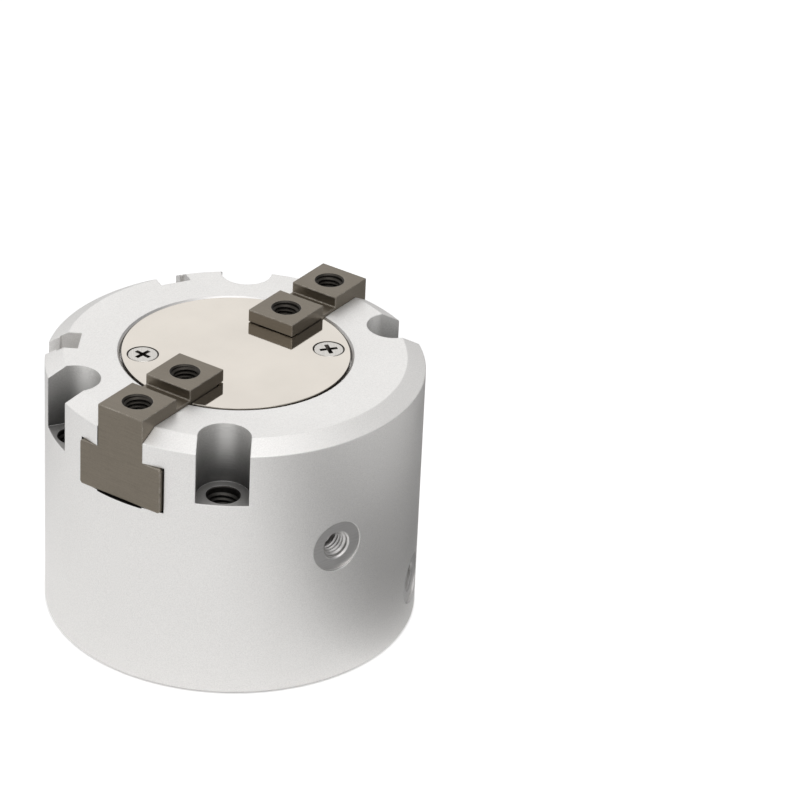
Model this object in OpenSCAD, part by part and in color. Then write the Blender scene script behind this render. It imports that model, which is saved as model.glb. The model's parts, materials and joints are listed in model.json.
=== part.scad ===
// Round-body, double-acting pneumatic gripper with two T-section jaws.
// A wedge cam on the piston rod drives both jaws together, so they stay centred.
// Frame: origin at the middle of the base face, +Z up through the jaws, jaws travel along X.
// The pose drawn is closed: piston down, jaws in.

/* [Body] */
// Height of the body, which also sets the stroke and the jaws' travel
body_h = 52; // [46:0.5:57]
// Bore of the cylinder
bore_d = 50; // [40:0.5:63]
// Thickness of the wall round the cylinder
wall_t = 10; // [9:0.25:14]
// Radial width of the bevel round the top rim
rim_bevel_w = 3.5; // [1:0.1:4]
// Height of the bevel round the top rim
rim_bevel_h = 2; // [0.8:0.1:3]
// Small bevel round the base
base_bevel = 0.5; // [0.2:0.1:1.2]
// Thickness of the wall between the cylinder and the cam pocket
partition_t = 5.9; // [5.7:0.1:9]

/* [Mounting] */
// Distance of the mounting holes from the body's surface
mount_inset = 3.8; // [3.2:0.1:4.2]
// Angle of the mounting holes from the line of the jaws
mount_angle = 32.7; // [29:0.1:37]
// Diameter of the mounting holes
mount_hole_d = 5.2; // [4.4:0.1:5.6]
// Diameter of the counterbores for the bolt heads, which open to the side
mount_head_d = 9.6; // [8.6:0.1:10.4]
// Depth of the counterbores below the top face
mount_head_depth = 12; // [6:0.5:16]
// Width of the countersink at each end of the mounting holes
mount_countersink = 0.4; // [0.2:0.1:0.6]
// Diameter of the locating pin hole in the base
pin_hole_d = 4; // [3:0.5:4]
// Depth of the locating pin hole
pin_hole_depth = 5; // [3:0.5:7]
// Distance of the locating pin hole from the body's surface
pin_inset = 3.8; // [3:0.1:4.4]

/* [Ports] */
// Tapping diameter of the two air ports
port_d = 4.2; // [3.2:0.1:4.4]
// Depth of the ports below their flats
port_depth = 5; // [4:0.5:5]
// Diameter of the flat round each port
port_flat_d = 10; // [8:0.5:11]
// Depth of the flat at the middle of the port
port_flat_depth = 0.5; // [0.4:0.1:0.8]
// Angle of each port from the middle of its side
port_angle = 21; // [18:0.5:26]
// Height of the opening port's drilling above the cap
port_open_lift = 0.4; // [0.1:0.1:2]
// Height of the closing port above the top of the cylinder
port_close_lift = 0.9; // [0:0.1:2]
// Diameter of the drillings from the ports to the cylinder
passage_d = 2; // [1.2:0.1:2.2]

/* [Switch grooves] */
// Angle of each switch groove from the middle of its side
groove_angle = 30.5; // [27:0.5:34]
// Width of the groove inside its lips
groove_w = 6; // [5:0.1:6.6]
// Width of the groove between its lips
groove_mouth_w = 5; // [4:0.1:5.4]
// Depth of the groove below the body's surface
groove_depth = 6.2; // [5:0.1:6.6]
// Thickness of the lips
groove_lip_t = 2.2; // [1.4:0.1:3]

/* [Jaws] */
// Width of the neck of the T section
jaw_w = 10; // [9:0.25:11]
// Width of the foot of the T section
foot_w = 18; // [16:0.5:20]
// Height of the foot of the T section
foot_h = 9.1; // [8:0.1:10.5]
// Depth of the foot's shoulder below the top face
shoulder_depth = 6; // [5:0.1:7]
// Height of the jaws above the top face
jaw_proud = 2.6; // [2:0.1:4]
// Length of each raised block on the jaws
block_l = 10; // [9:0.25:10.5]
// Width of the key groove between the blocks
key_w = 4; // [3:0.25:4.5]
// Depth of the key groove
key_depth = 2.1; // [1:0.1:2.3]
// Setback of the jaws' outer faces from the body's surface
jaw_setback = 0.4; // [0.2:0.1:1]
// Tapping diameter of the finger screw holes
finger_hole_d = 4.2; // [3.2:0.1:4.6]
// Depth of the finger screw holes
finger_hole_depth = 8; // [6:0.5:9]
// Width of the countersinks on the finger screw holes
finger_countersink = 0.7; // [0.3:0.1:0.9]
// Bevel on the long edges of the jaws
jaw_bevel = 0.4; // [0.2:0.1:0.8]

/* [Cam] */
// Jaw travel for each millimetre of piston stroke
wedge_ratio = 0.75; // [0.65:0.05:0.9]
// Height of the cam
cam_h = 8; // [7.6:0.2:9]
// Width of the cam
cam_w = 12; // [11.5:0.25:13]
// Half length of the cam at its top
cam_top_half = 7; // [6.6:0.1:7.6]
// Width of the stem of the T tongues
tongue_w = 3.4; // [2.8:0.1:3.8]
// Width of the head of the T tongues
tongue_head_w = 6.2; // [5.4:0.1:6.4]
// Thickness of the stem of the T tongues, and of their head
tongue_t = 1.7; // [1.4:0.1:2]
// Half the space left between the tips of the closed jaws
tip_half_gap = 1.5; // [1:0.1:2]

/* [End plate] */
// Thickness of the end plate
plate_t = 2; // [1.8:0.1:3]
// Metal between the cam pocket and the end plate's screws
screw_land = 0.85; // [0.7:0.05:2]
// Distance from the screws to the end plate's edge
plate_margin = 3.9; // [3.4:0.1:4.4]
// Bevel round the recess for the end plate
recess_bevel = 0.4; // [0.1:0.1:0.6]
// Overhang of the inner blocks over the end plate
block_overhang = 1.8; // [1:0.1:2.4]
// Angle of the first end plate screw
plate_screw_angle = -48; // [-60:1:-42]
// Diameter of the end plate screws
screw_d = 3; // [2.5:0.5:3]
// Length of the end plate screws with their heads
screw_l = 6; // [5:0.5:8]
// Diameter of the end plate screws' heads
screw_head_d = 5.5; // [5:0.1:6]

/* [Piston] */
// Thickness of the piston
piston_t = 9.6; // [9.4:0.2:13]
// Height of the magnet
magnet_h = 2.2; // [1.6:0.1:2.3]
// Radial thickness of the magnet
magnet_t = 1.9; // [1.4:0.1:2.2]
// Height of the wear ring
wear_h = 1.6; // [1.2:0.1:1.7]
// Radial thickness of the wear ring
wear_t = 1; // [0.8:0.1:1.4]
// Height of the piston seal
seal_h = 2.2; // [1.6:0.1:2.3]
// Radial thickness of the piston seal
seal_t = 2.4; // [1.8:0.1:2.8]
// Inner diameter of the bumpers
bumper_d = 24; // [22:0.5:26]
// Radial thickness of the bumpers
bumper_t = 4; // [3:0.25:5]
// Depth that the bumpers are sunk into the piston
bumper_sunk = 1; // [0.8:0.1:1.2]
// Height that the bumpers stand proud
bumper_proud = 0.8; // [0.5:0.1:1.2]

/* [Rod] */
// Diameter of the piston rod
rod_d = 12; // [11.4:0.2:13]
// Diameter of the rod's threaded end
rod_end_d = 8; // [7:0.5:8]
// Width across flats of the rod nut
nut_af = 13; // [12:0.5:14]
// Thickness of the rod nut
nut_t = 4; // [3:0.25:4.5]
// Section of the gasket between rod and piston
gasket_d = 1.2; // [1:0.1:1.4]
// Diameter of the cam bolt
cam_bolt_d = 5; // [4:0.5:5]
// Diameter of the cam bolt's head
cam_bolt_head_d = 8.5; // [8:0.1:9]
// Height of the cam bolt's head
cam_bolt_head_h = 3; // [2.5:0.1:3.2]
// Length of the cam bolt's shank
cam_bolt_l = 14; // [10:1:18]
// Thickness of the washer under the cam bolt's head
washer_t = 0.9; // [0.6:0.1:1]
// Depth that the rod's top is let into the cam
cam_pilot = 1; // [0.6:0.1:1.2]

/* [Gland] */
// Outer diameter of the rod seal, its retainer and the rod bush
gland_d = 19; // [18:0.25:21]
// Height of the rod seal
rod_seal_h = 2.2; // [1.8:0.1:2.4]
// Thickness of the seal retainer
retainer_t = 0.7; // [0.5:0.1:0.9]
// Thickness of the wall that holds the gland from above
gland_roof_t = 1; // [0.8:0.1:1.6]

/* [Cap] */
// Thickness of the cap
cap_t = 4.9; // [4.4:0.1:7]
// Step in radius from the bore to the cap's seat
cap_step = 1; // [0.8:0.1:1.2]
// Diameter of the shallow dish under the cap
dish_d = 30; // [20:1:36]
// Depth of the dish
dish_depth = 0.8; // [0.4:0.1:1.2]
// Section of the cap's O-ring
o_ring_d = 1.8; // [1.5:0.1:2]
// Thickness of the retaining ring
ring_t = 1.75; // [1.5:0.05:2]
// Depth of the retaining ring's groove in the body
ring_bite = 1.2; // [1:0.05:1.3]
// Depth of the mouth below the retaining ring
mouth_depth = 1.35; // [1:0.05:2]

/* [Clearances] */
// Gap on each side of a sliding face
slide_gap = 0.05; // [0.03:0.01:0.1]
// Gap on each side of the jaws' feet
foot_gap = 0.25; // [0.1:0.05:0.4]
// Radial gap of a piece that runs in a bore
run_gap = 0.05; // [0.03:0.01:0.08]
// Radial gap between the piston's metal and the bore
piston_gap = 0.1; // [0.08:0.01:0.1]
// Gap round a piece that is fitted and doesn't move
fit_gap = 0.03; // [0.02:0.01:0.05]
// Gap left at the ends of a stroke
end_gap = 0.2; // [0.15:0.05:0.4]
// Gap round the end plate
plate_gap = 0.35; // [0.2:0.05:0.5]
// Gap between the jaws and the end plate
plate_slot_gap = 0.15; // [0.1:0.01:0.25]

/* [Hidden] */
$fn = 96;

cut = 1;                                  // how far a cut runs past the face that it opens
bore_r = bore_d / 2;
body_r = bore_r + wall_t;
piston_r = bore_r - piston_gap;
run_r = bore_r - run_gap;                 // outside of the seal and the wear ring

// Stack of heights from the base face up
ring_slot_h = ring_t + 2 * slide_gap;
cap_z0 = mouth_depth + ring_slot_h;
cap_z1 = cap_z0 + cap_t;
piston_z0 = cap_z1 + end_gap + bumper_proud;
piston_z1 = piston_z0 + piston_t;
plate_z0 = body_h - plate_t;
// The stroke counts twice: once above the piston and once above the cam
piston_stroke = (plate_z0 - piston_z1 - bumper_proud - partition_t - cam_h - 3 * end_gap) / 2;
jaw_travel = piston_stroke * wedge_ratio;
chamber_z1 = piston_z1 + bumper_proud + piston_stroke + end_gap;
port_open_z = cap_z1 + passage_d / 2 + port_open_lift;
port_close_z = chamber_z1 + port_close_lift;
pocket_z0 = chamber_z1 + partition_t;

// Cam, its pocket and the end plate over it
cam_z0 = plate_z0 - end_gap - piston_stroke - cam_h;
cam_z1 = cam_z0 + cam_h;
cam_base_half = cam_top_half + wedge_ratio * cam_h;
pocket_r = norm([cam_base_half, cam_w / 2]) + 2 * end_gap;
plate_screw_r = pocket_r + screw_land + screw_d / 2 + run_gap;
plate_r = plate_screw_r + plate_margin;
screw_head_h = (screw_head_d - screw_d) / 2 + screw_head_d / 20;
wedge_angle = atan(wedge_ratio);

// Jaws
jaw_end_x = body_r - jaw_setback;
key_x1 = jaw_end_x - block_l;
key_x0 = key_x1 - key_w;
block_x0 = key_x0 - block_l;
neck_x0 = block_x0 + block_overhang;
jaw_top_z = body_h + jaw_proud;
foot_z1 = body_h - shoulder_depth;
foot_z0 = foot_z1 - foot_h;
finger_hole_x = [key_x0 - block_l / 2, key_x1 + block_l / 2];

// Piston rings, from the piston's underside up: magnet, wear ring, seal
land = (piston_t - magnet_h - wear_h - seal_h) / 4;
magnet_z = piston_z0 + land;
wear_z = magnet_z + magnet_h + land;
seal_z = wear_z + wear_h + land;

// Rod and gland
rod_r = rod_d / 2;
rod_top_z = cam_z0 + cam_pilot;
gland_z1 = pocket_z0 - gland_roof_t;
rod_seal_z = gland_z1 - rod_seal_h;
retainer_z = rod_seal_z - retainer_t;
cam_bore_depth = cam_bolt_head_h + washer_t + end_gap;
cam_bolt_seat_z = cam_z1 - cam_bore_depth;
nut_recess = nut_t + end_gap;

// Cap
cap_r = bore_r + cap_step - fit_gap;
ring_r = bore_r + cap_step + ring_bite;

// ---- helpers ----

// Width over corners of a hexagon, from its width across flats
function hex_d(af) = af / cos(30);

// Upright ring between two radii
module ring(r0, r1, z, h) {
    translate([0, 0, z]) difference() {
        cylinder(r = r1, h = h);
        translate([0, 0, -cut]) cylinder(r = r0, h = h + 2 * cut);
    }
}

// Upright round cut
module drill(r, z0, z1) translate([0, 0, z0]) cylinder(r = r, h = z1 - z0);

// Countersink that opens upwards at height z, from radius r
module countersink_up(r, w, z) translate([0, 0, z - w]) cylinder(r1 = r, r2 = r + w + cut, h = w + cut);

// The same, opening downwards
module countersink_down(r, w, z) translate([0, 0, z - cut]) cylinder(r1 = r + w + cut, r2 = r, h = w + cut);

// Outline in the XZ plane made into a plate of width w across Y
module side_plate(w) rotate([90, 0, 0]) linear_extrude(height = w, center = true) children();

// Outline in the YZ plane made into a bar of length l along X
module bar_section(l) rotate([90, 0, 90]) linear_extrude(height = l, center = true) children();

// T section of the jaws; g is the gap at the neck and shoulder, side the gap at the foot's sides
module t_section(g, side, bevel, top_z) {
    neck = jaw_w / 2 + g;
    foot = foot_w / 2 + side;
    polygon([
        [-foot + bevel, foot_z0 - g], [foot - bevel, foot_z0 - g],
        [foot, foot_z0 - g + bevel], [foot, foot_z1 + g - bevel],
        [foot - bevel, foot_z1 + g], [neck, foot_z1 + g],
        [neck, top_z], [-neck, top_z],
        [-neck, foot_z1 + g], [-foot + bevel, foot_z1 + g],
        [-foot, foot_z1 + g - bevel], [-foot, foot_z0 - g + bevel]
    ]);
}

// Slanted T that joins cam and jaw on the +X side; g is the gap round it
module wedge_tongue(g) {
    reach = 2 * (body_h + jaw_travel);
    translate([cam_top_half, 0, cam_z1]) rotate([0, -wedge_angle, 0]) {
        translate([-tongue_t, -tongue_w / 2 - g, -reach / 2])
            cube([2 * tongue_t + g, tongue_w + 2 * g, reach]);
        translate([tongue_t - g, -tongue_head_w / 2 - g, -reach / 2])
            cube([tongue_t + 2 * g, tongue_head_w + 2 * g, reach]);
    }
}

// ---- housing ----

module body_blank() rotate_extrude()
    polygon([
        [0, 0], [body_r - base_bevel, 0], [body_r, base_bevel], [body_r, body_h - rim_bevel_h],
        [body_r - rim_bevel_w, body_h], [0, body_h]
    ]);

module cylinder_cut() {
    drill(bore_r, cap_z0, chamber_z1);
    drill(bore_r + cap_step, -cut, cap_z1);
    drill(ring_r, mouth_depth, cap_z0);
    countersink_down(bore_r + cap_step, slide_gap * 8, 0);
}

module gland_cut() {
    drill(rod_r + end_gap, chamber_z1 - cut, pocket_z0 + cut);
    drill(gland_d / 2, chamber_z1 - cut, gland_z1);
}

module top_works_cut() {
    slot_l = 2 * (body_r + cut);
    drill(pocket_r, pocket_z0, body_h + cut);
    drill(plate_r + plate_gap, plate_z0, body_h + cut);
    countersink_up(plate_r + plate_gap, recess_bevel, body_h);
    bar_section(slot_l) t_section(slide_gap, foot_gap, 0, body_h + cut);
    bar_section(slot_l) translate([-jaw_w / 2, foot_z0 - foot_gap - slide_gap]) square([jaw_w, foot_h]);
}

module mount_cut() for (side = [0, 180], s = [-1, 1]) rotate([0, 0, side + s * mount_angle])
    translate([body_r - mount_inset, 0, 0]) {
    seat_z = body_h - mount_head_depth;
    hole_r = mount_hole_d / 2;
    drill(hole_r, -cut, body_h);
    drill(mount_head_d / 2, seat_z, body_h + cut);
    translate([0, -mount_head_d / 2, seat_z])
        cube([mount_inset + cut, mount_head_d, mount_head_depth + cut]);
    countersink_down(hole_r, mount_countersink, 0);
    countersink_up(hole_r, mount_countersink, seat_z);
}

module switch_groove_cut() for (a = [90 - groove_angle, 90 + groove_angle]) rotate([0, 0, a]) {
    floor_r = body_r - groove_depth;
    h = body_h + 2 * cut;
    translate([floor_r, -groove_w / 2, -cut]) cube([groove_depth - groove_lip_t, groove_w, h]);
    translate([floor_r, -groove_mouth_w / 2, -cut]) cube([groove_depth + cut, groove_mouth_w, h]);
}

// One port: flat, tapped hole with its countersink, and the drilling to the cylinder at height reach_z
module port_cut(a, z, reach_z) {
    face_r = body_r - port_flat_depth;
    floor_r = face_r - port_depth;
    run = floor_r - (bore_r - cut);
    drop = z - reach_z;
    rotate([0, 0, a]) translate([0, 0, z]) rotate([0, 90, 0]) {
        drill(port_flat_d / 2, face_r, body_r + cut);
        drill(port_d / 2, floor_r, body_r + cut);
        countersink_up(port_d / 2, finger_countersink, face_r);
    }
    rotate([0, 0, a]) translate([floor_r + passage_d / 2, 0, z]) rotate([0, -90 - atan2(drop, run), 0])
        cylinder(d = passage_d, h = norm([run, drop]) + passage_d);
}

module plate_screw_places() for (a = [plate_screw_angle, plate_screw_angle + 180])
    rotate([0, 0, a]) translate([plate_screw_r, 0, 0]) children();

module body() color([0.82, 0.83, 0.84]) difference() {
    body_blank();
    cylinder_cut();
    gland_cut();
    top_works_cut();
    mount_cut();
    switch_groove_cut();
    port_cut(-90 - port_angle, port_close_z, chamber_z1 - passage_d);
    port_cut(-90 + port_angle, port_open_z, port_open_z);
    translate([0, pin_inset - body_r, 0]) drill(pin_hole_d / 2, -cut, pin_hole_depth);
    plate_screw_places() drill(screw_d / 2 + run_gap, body_h - screw_l - end_gap, body_h);
}

module end_plate() color([0.80, 0.78, 0.74]) difference() {
    drill(plate_r, plate_z0, body_h);
    for (s = [-1, 1]) translate([s * (neck_x0 - end_gap + plate_r / 2), 0, body_h])
        cube([plate_r, jaw_w + 2 * plate_slot_gap, 2 * plate_t + 2 * cut], center = true);
    plate_screw_places() {
        drill(screw_d / 2 + run_gap, plate_z0 - cut, body_h + cut);
        translate([0, 0, body_h - screw_head_h - run_gap]) cylinder(
            d1 = screw_d + 2 * run_gap, d2 = screw_head_d + 2 * run_gap, h = screw_head_h + run_gap);
    }
}

module plate_screw() {
    recess_w = screw_head_d * 0.13;
    recess_l = screw_head_d * 0.55;
    head_z = body_h - screw_head_h;
    difference() {
        union() {
            drill(screw_d / 2, body_h - screw_l, head_z);
            translate([0, 0, head_z]) cylinder(d1 = screw_d, d2 = screw_head_d, h = screw_head_h);
        }
        for (a = [0, 90]) rotate([0, 0, a]) translate([0, 0, body_h])
            cube([recess_l, recess_w, screw_head_h], center = true);
    }
}

module end_plate_screws() color([0.75, 0.75, 0.74]) plate_screw_places() plate_screw();

module rod_bush() color([0.72, 0.55, 0.30]) {
    bush_h = retainer_z - chamber_z1 - 2 * fit_gap;
    ring(rod_r + run_gap, gland_d / 2 - fit_gap, chamber_z1 + fit_gap, bush_h);
}

module seal_retainer() color([0.70, 0.70, 0.72])
    ring(rod_r + end_gap, gland_d / 2 - fit_gap, retainer_z, retainer_t - fit_gap);

// Lip seal: a ring with a V groove between its two lips, open towards the cylinder
module rod_seal() color([0.10, 0.10, 0.11]) rotate_extrude() {
    r0 = rod_r + run_gap;
    r1 = gland_d / 2 - fit_gap;
    mid = (r0 + r1) / 2;
    h = rod_seal_h - fit_gap;
    polygon([
        [r0, rod_seal_z], [mid - (r1 - r0) / 4, rod_seal_z], [mid, rod_seal_z + h / 2],
        [mid + (r1 - r0) / 4, rod_seal_z], [r1, rod_seal_z], [r1, rod_seal_z + h], [r0, rod_seal_z + h]
    ]);
}

module cap() color([0.74, 0.75, 0.77]) {
    groove_h = o_ring_d + 2 * end_gap;
    groove_z = cap_z0 + (cap_t - groove_h) / 2;
    difference() {
        drill(cap_r, cap_z0, cap_z1 - fit_gap);
        ring(cap_r - o_ring_d, cap_r + cut, groove_z, groove_h);
        translate([0, 0, cap_z0 - cut]) cylinder(d = dish_d, h = dish_depth + cut);
    }
}

module cap_o_ring() color([0.09, 0.09, 0.10]) translate([0, 0, cap_z0 + cap_t / 2])
    rotate_extrude() translate([cap_r - o_ring_d / 2, 0]) circle(d = o_ring_d);

// Internal retaining ring: thickest opposite its gap, with a lug and a plier hole on each side of the gap
module retaining_ring() color([0.35, 0.35, 0.37])
    translate([0, 0, mouth_depth + slide_gap]) linear_extrude(height = ring_t) {
        outer_r = ring_r - run_gap;
        thin = ring_bite * 2;
        thick = ring_bite * 3;
        inner_r = outer_r - (thin + thick) / 2;
        lug_r = ring_t * 1.4;
        lug_angle = 12;
        lug_place = outer_r - thin - lug_r / 2;
        gap_half = outer_r * sin(lug_angle) - lug_r;
        difference() {
            union() {
                difference() {
                    circle(r = outer_r);
                    translate([0, -(thick - thin) / 2]) circle(r = inner_r);
                }
                for (s = [-1, 1]) rotate(-90 + s * lug_angle) translate([lug_place, 0]) circle(r = lug_r);
            }
            for (s = [-1, 1]) rotate(-90 + s * lug_angle) translate([lug_place, 0]) circle(d = lug_r);
            translate([-gap_half, -outer_r - cut]) square([2 * gap_half, outer_r]);
        }
    }

// ---- piston group ----

module piston() color([0.70, 0.72, 0.74]) difference() {
    drill(piston_r, piston_z0, piston_z1);
    ring(piston_r - magnet_t, piston_r + cut, magnet_z, magnet_h);
    ring(run_r - wear_t, piston_r + cut, wear_z, wear_h);
    ring(run_r - seal_t, piston_r + cut, seal_z, seal_h);
    ring(bumper_d / 2, bumper_d / 2 + bumper_t, piston_z0 - cut, bumper_sunk + cut);
    ring(bumper_d / 2, bumper_d / 2 + bumper_t, piston_z1 - bumper_sunk, bumper_sunk + cut);
    drill(rod_end_d / 2 + run_gap, piston_z0 - cut, piston_z1 + cut);
    drill(hex_d(nut_af) / 2 + end_gap, piston_z0 - cut, piston_z0 + nut_recess);
    drill(rod_end_d / 2 + gasket_d, piston_z1 - gasket_d, piston_z1 + cut);
}

module piston_rod() color([0.78, 0.78, 0.80]) difference() {
    union() {
        drill(rod_r, piston_z1, rod_top_z);
        drill(rod_end_d / 2, piston_z0 + end_gap, piston_z1 + fit_gap);
    }
    drill(cam_bolt_d / 2 + run_gap, cam_bolt_seat_z - cam_bolt_l - end_gap, rod_top_z + cut);
}

module rod_nut() color([0.66, 0.66, 0.68]) difference() {
    translate([0, 0, piston_z0 + end_gap - fit_gap]) cylinder(d = hex_d(nut_af), h = nut_t, $fn = 6);
    drill(rod_end_d / 2 + run_gap, piston_z0 - cut, piston_z1);
}

module rod_gasket() color([0.09, 0.09, 0.10]) translate([0, 0, piston_z1 - gasket_d / 2])
    rotate_extrude() translate([rod_end_d / 2 + gasket_d / 2, 0]) circle(d = gasket_d - fit_gap, $fn = 32);

// Cup seal with a shallow groove round its running face
module piston_seal() color([0.10, 0.10, 0.11]) rotate_extrude() {
    r0 = run_r - seal_t + fit_gap;
    z0 = seal_z + fit_gap;
    z1 = seal_z + seal_h - fit_gap;
    polygon([
        [r0, z0], [run_r, z0], [run_r, z0 + seal_h / 4], [run_r - seal_t / 6, (z0 + z1) / 2],
        [run_r, z1 - seal_h / 4], [run_r, z1], [r0, z1]
    ]);
}

module wear_ring() color([0.55, 0.40, 0.28])
    ring(run_r - wear_t + fit_gap, run_r, wear_z + fit_gap, wear_h - 2 * fit_gap);

module magnet() color([0.20, 0.19, 0.19])
    ring(piston_r - magnet_t + fit_gap, piston_r - end_gap, magnet_z + fit_gap, magnet_h - 2 * fit_gap);

module bumper(z) color([0.16, 0.16, 0.17])
    ring(bumper_d / 2 + fit_gap, bumper_d / 2 + bumper_t - fit_gap, z, bumper_sunk + bumper_proud);

module upper_bumper() bumper(piston_z1 - bumper_sunk);

module lower_bumper() bumper(piston_z0 - bumper_proud);

module cam_bolt_hole() {
    drill(cam_bolt_d / 2 + run_gap, cam_z0 - cut, cam_z1 + cut);
    drill(cam_bolt_head_d / 2 + end_gap, cam_bolt_seat_z, cam_z1 + cut);
    drill(rod_r + run_gap, cam_z0 - cut, rod_top_z);
}

module cam() color([0.45, 0.44, 0.43]) difference() {
    union() {
        side_plate(cam_w) polygon([
            [-cam_base_half, cam_z0], [cam_base_half, cam_z0],
            [cam_top_half, cam_z1], [-cam_top_half, cam_z1]
        ]);
        intersection() {
            union() {
                wedge_tongue(0);
                mirror([1, 0, 0]) wedge_tongue(0);
            }
            tongue_z0 = max(cam_z0, foot_z0 + end_gap);
            drill(body_r, tongue_z0, cam_z1);
        }
    }
    cam_bolt_hole();
}

module cam_bolt() color([0.30, 0.30, 0.31]) difference() {
    head_z = cam_bolt_seat_z + washer_t;
    socket_af = cam_bolt_d * 0.8;
    union() {
        drill(cam_bolt_head_d / 2, head_z, head_z + cam_bolt_head_h);
        drill(cam_bolt_d / 2, cam_bolt_seat_z - cam_bolt_l, head_z + fit_gap);
    }
    translate([0, 0, head_z + cam_bolt_head_h / 2])
        cylinder(d = hex_d(socket_af), h = cam_bolt_head_h, $fn = 6);
}

module cam_washer() color([0.55, 0.55, 0.56])
    ring(cam_bolt_d / 2 + run_gap, cam_bolt_head_d / 2, cam_bolt_seat_z + fit_gap, washer_t - 2 * fit_gap);

// ---- jaws ----

// Distance from the axis to the slanted inner face of the closed jaw at height z
function flank_x(z) = cam_top_half + wedge_ratio * (cam_z1 - z) + slide_gap / cos(wedge_angle);

module jaw_side_outline() {
    tip_z = cam_z1 - (tip_half_gap + slide_gap - flank_x(cam_z1)) / wedge_ratio;
    beak_z = plate_z0 - plate_slot_gap;
    overhang_z = body_h + plate_slot_gap;
    key_z = jaw_top_z - key_depth;
    polygon([
        [flank_x(foot_z0), foot_z0], [jaw_end_x, foot_z0], [jaw_end_x, jaw_top_z],
        [key_x1, jaw_top_z], [key_x1, key_z], [key_x0, key_z], [key_x0, jaw_top_z],
        [block_x0, jaw_top_z], [block_x0, overhang_z], [neck_x0, overhang_z], [neck_x0, beak_z],
        [tip_half_gap, beak_z], [tip_half_gap, min(tip_z, beak_z)]
    ]);
}

module jaw() difference() {
    intersection() {
        side_plate(foot_w + 2 * cut) jaw_side_outline();
        translate([body_r, 0, 0]) bar_section(2 * body_r) t_section(0, 0, jaw_bevel, jaw_top_z);
    }
    wedge_tongue(slide_gap);
    for (x = finger_hole_x) translate([x, 0, 0]) {
        drill(finger_hole_d / 2, jaw_top_z - finger_hole_depth, jaw_top_z + cut);
        countersink_up(finger_hole_d / 2, finger_countersink, jaw_top_z);
    }
}

module jaw_right() color([0.43, 0.40, 0.37]) jaw();

module jaw_left() color([0.43, 0.40, 0.37]) mirror([1, 0, 0]) jaw();

body();
end_plate();
end_plate_screws();
rod_bush();
seal_retainer();
rod_seal();
cap();
cap_o_ring();
retaining_ring();
piston();
piston_rod();
rod_nut();
rod_gasket();
piston_seal();
wear_ring();
magnet();
upper_bumper();
lower_bumper();
cam();
cam_bolt();
cam_washer();
jaw_left();
jaw_right();
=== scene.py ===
"""Dresses a round-body pneumatic gripper: machined housing, T-section jaws, polished end plate."""

import json
import math

import bmesh
import bpy
from bpy.props import FloatProperty, FloatVectorProperty, IntProperty, PointerProperty
from mathutils import Matrix, Vector


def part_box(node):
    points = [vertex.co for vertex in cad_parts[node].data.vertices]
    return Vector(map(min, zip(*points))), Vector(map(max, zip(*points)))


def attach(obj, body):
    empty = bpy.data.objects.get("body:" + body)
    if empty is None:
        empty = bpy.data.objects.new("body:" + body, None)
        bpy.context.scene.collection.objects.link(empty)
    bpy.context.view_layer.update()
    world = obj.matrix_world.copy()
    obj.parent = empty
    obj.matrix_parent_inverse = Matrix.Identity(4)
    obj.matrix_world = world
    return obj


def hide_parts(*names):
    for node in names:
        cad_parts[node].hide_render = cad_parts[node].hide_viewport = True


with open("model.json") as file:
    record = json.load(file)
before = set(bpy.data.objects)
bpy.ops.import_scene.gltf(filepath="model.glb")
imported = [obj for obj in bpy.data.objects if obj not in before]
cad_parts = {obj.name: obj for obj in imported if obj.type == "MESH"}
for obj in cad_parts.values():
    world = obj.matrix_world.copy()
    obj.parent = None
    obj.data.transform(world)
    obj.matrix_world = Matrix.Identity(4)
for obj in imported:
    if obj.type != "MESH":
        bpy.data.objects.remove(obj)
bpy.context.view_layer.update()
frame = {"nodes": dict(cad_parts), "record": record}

bl_info = {
    "name": "Round Gripper Dresser",
    "version": (1, 0, 0),
    "blender": (4, 5, 0),
    "location": "3D View > Sidebar > Gripper",
    "description": "Builds the finished pieces of a round-body gripper on its packed frame",
    "category": "Object",
}

MM = 0.001
BODY_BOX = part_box("body")
PLATE_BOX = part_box("end_plate")
JAW_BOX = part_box("jaw_right")
SCREW_ANGLES = (-48.0, 132.0)  # where the end plate's screws stand
SCREW_TURNS = (52.0, 84.0)  # how far their cross recesses are turned
SCREW_R, SCREW_L = 1.5 * MM, 6 * MM
SCREW_HOLE_R, SCREW_HOLE_L = 1.55 * MM, 6.2 * MM
CUT = 1.0 * MM  # how far a cutting tool runs past the face that it opens
MIX_FACTOR, MIX_LOW, MIX_HIGH, MIX_RESULT = 0, 6, 7, 2  # sockets of a colour Mix node, whose names repeat
LYING = Matrix(((0, 0, 1, 0), (1, 0, 0, 0), (0, 1, 0, 0), (0, 0, 0, 1)))  # a YZ outline drawn along X
UPRIGHT = Matrix(((1, 0, 0, 0), (0, 0, -1, 0), (0, 1, 0, 0), (0, 0, 0, 1)))  # an XZ outline drawn along Y


def length(name, description, millimetres):
    size = millimetres * MM
    return FloatProperty(name=name, description=description, default=size, unit="LENGTH", precision=5)


def angle(name, description, degrees):
    return FloatProperty(name=name, description=description, default=math.radians(degrees), unit="ROTATION")


def tone(name, description, red, green, blue):
    return FloatVectorProperty(
        name=name, description=description, default=(red, green, blue), size=3, min=0, max=1, subtype="COLOR"
    )


# ---- sizes and colours that a user would change ----


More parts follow.
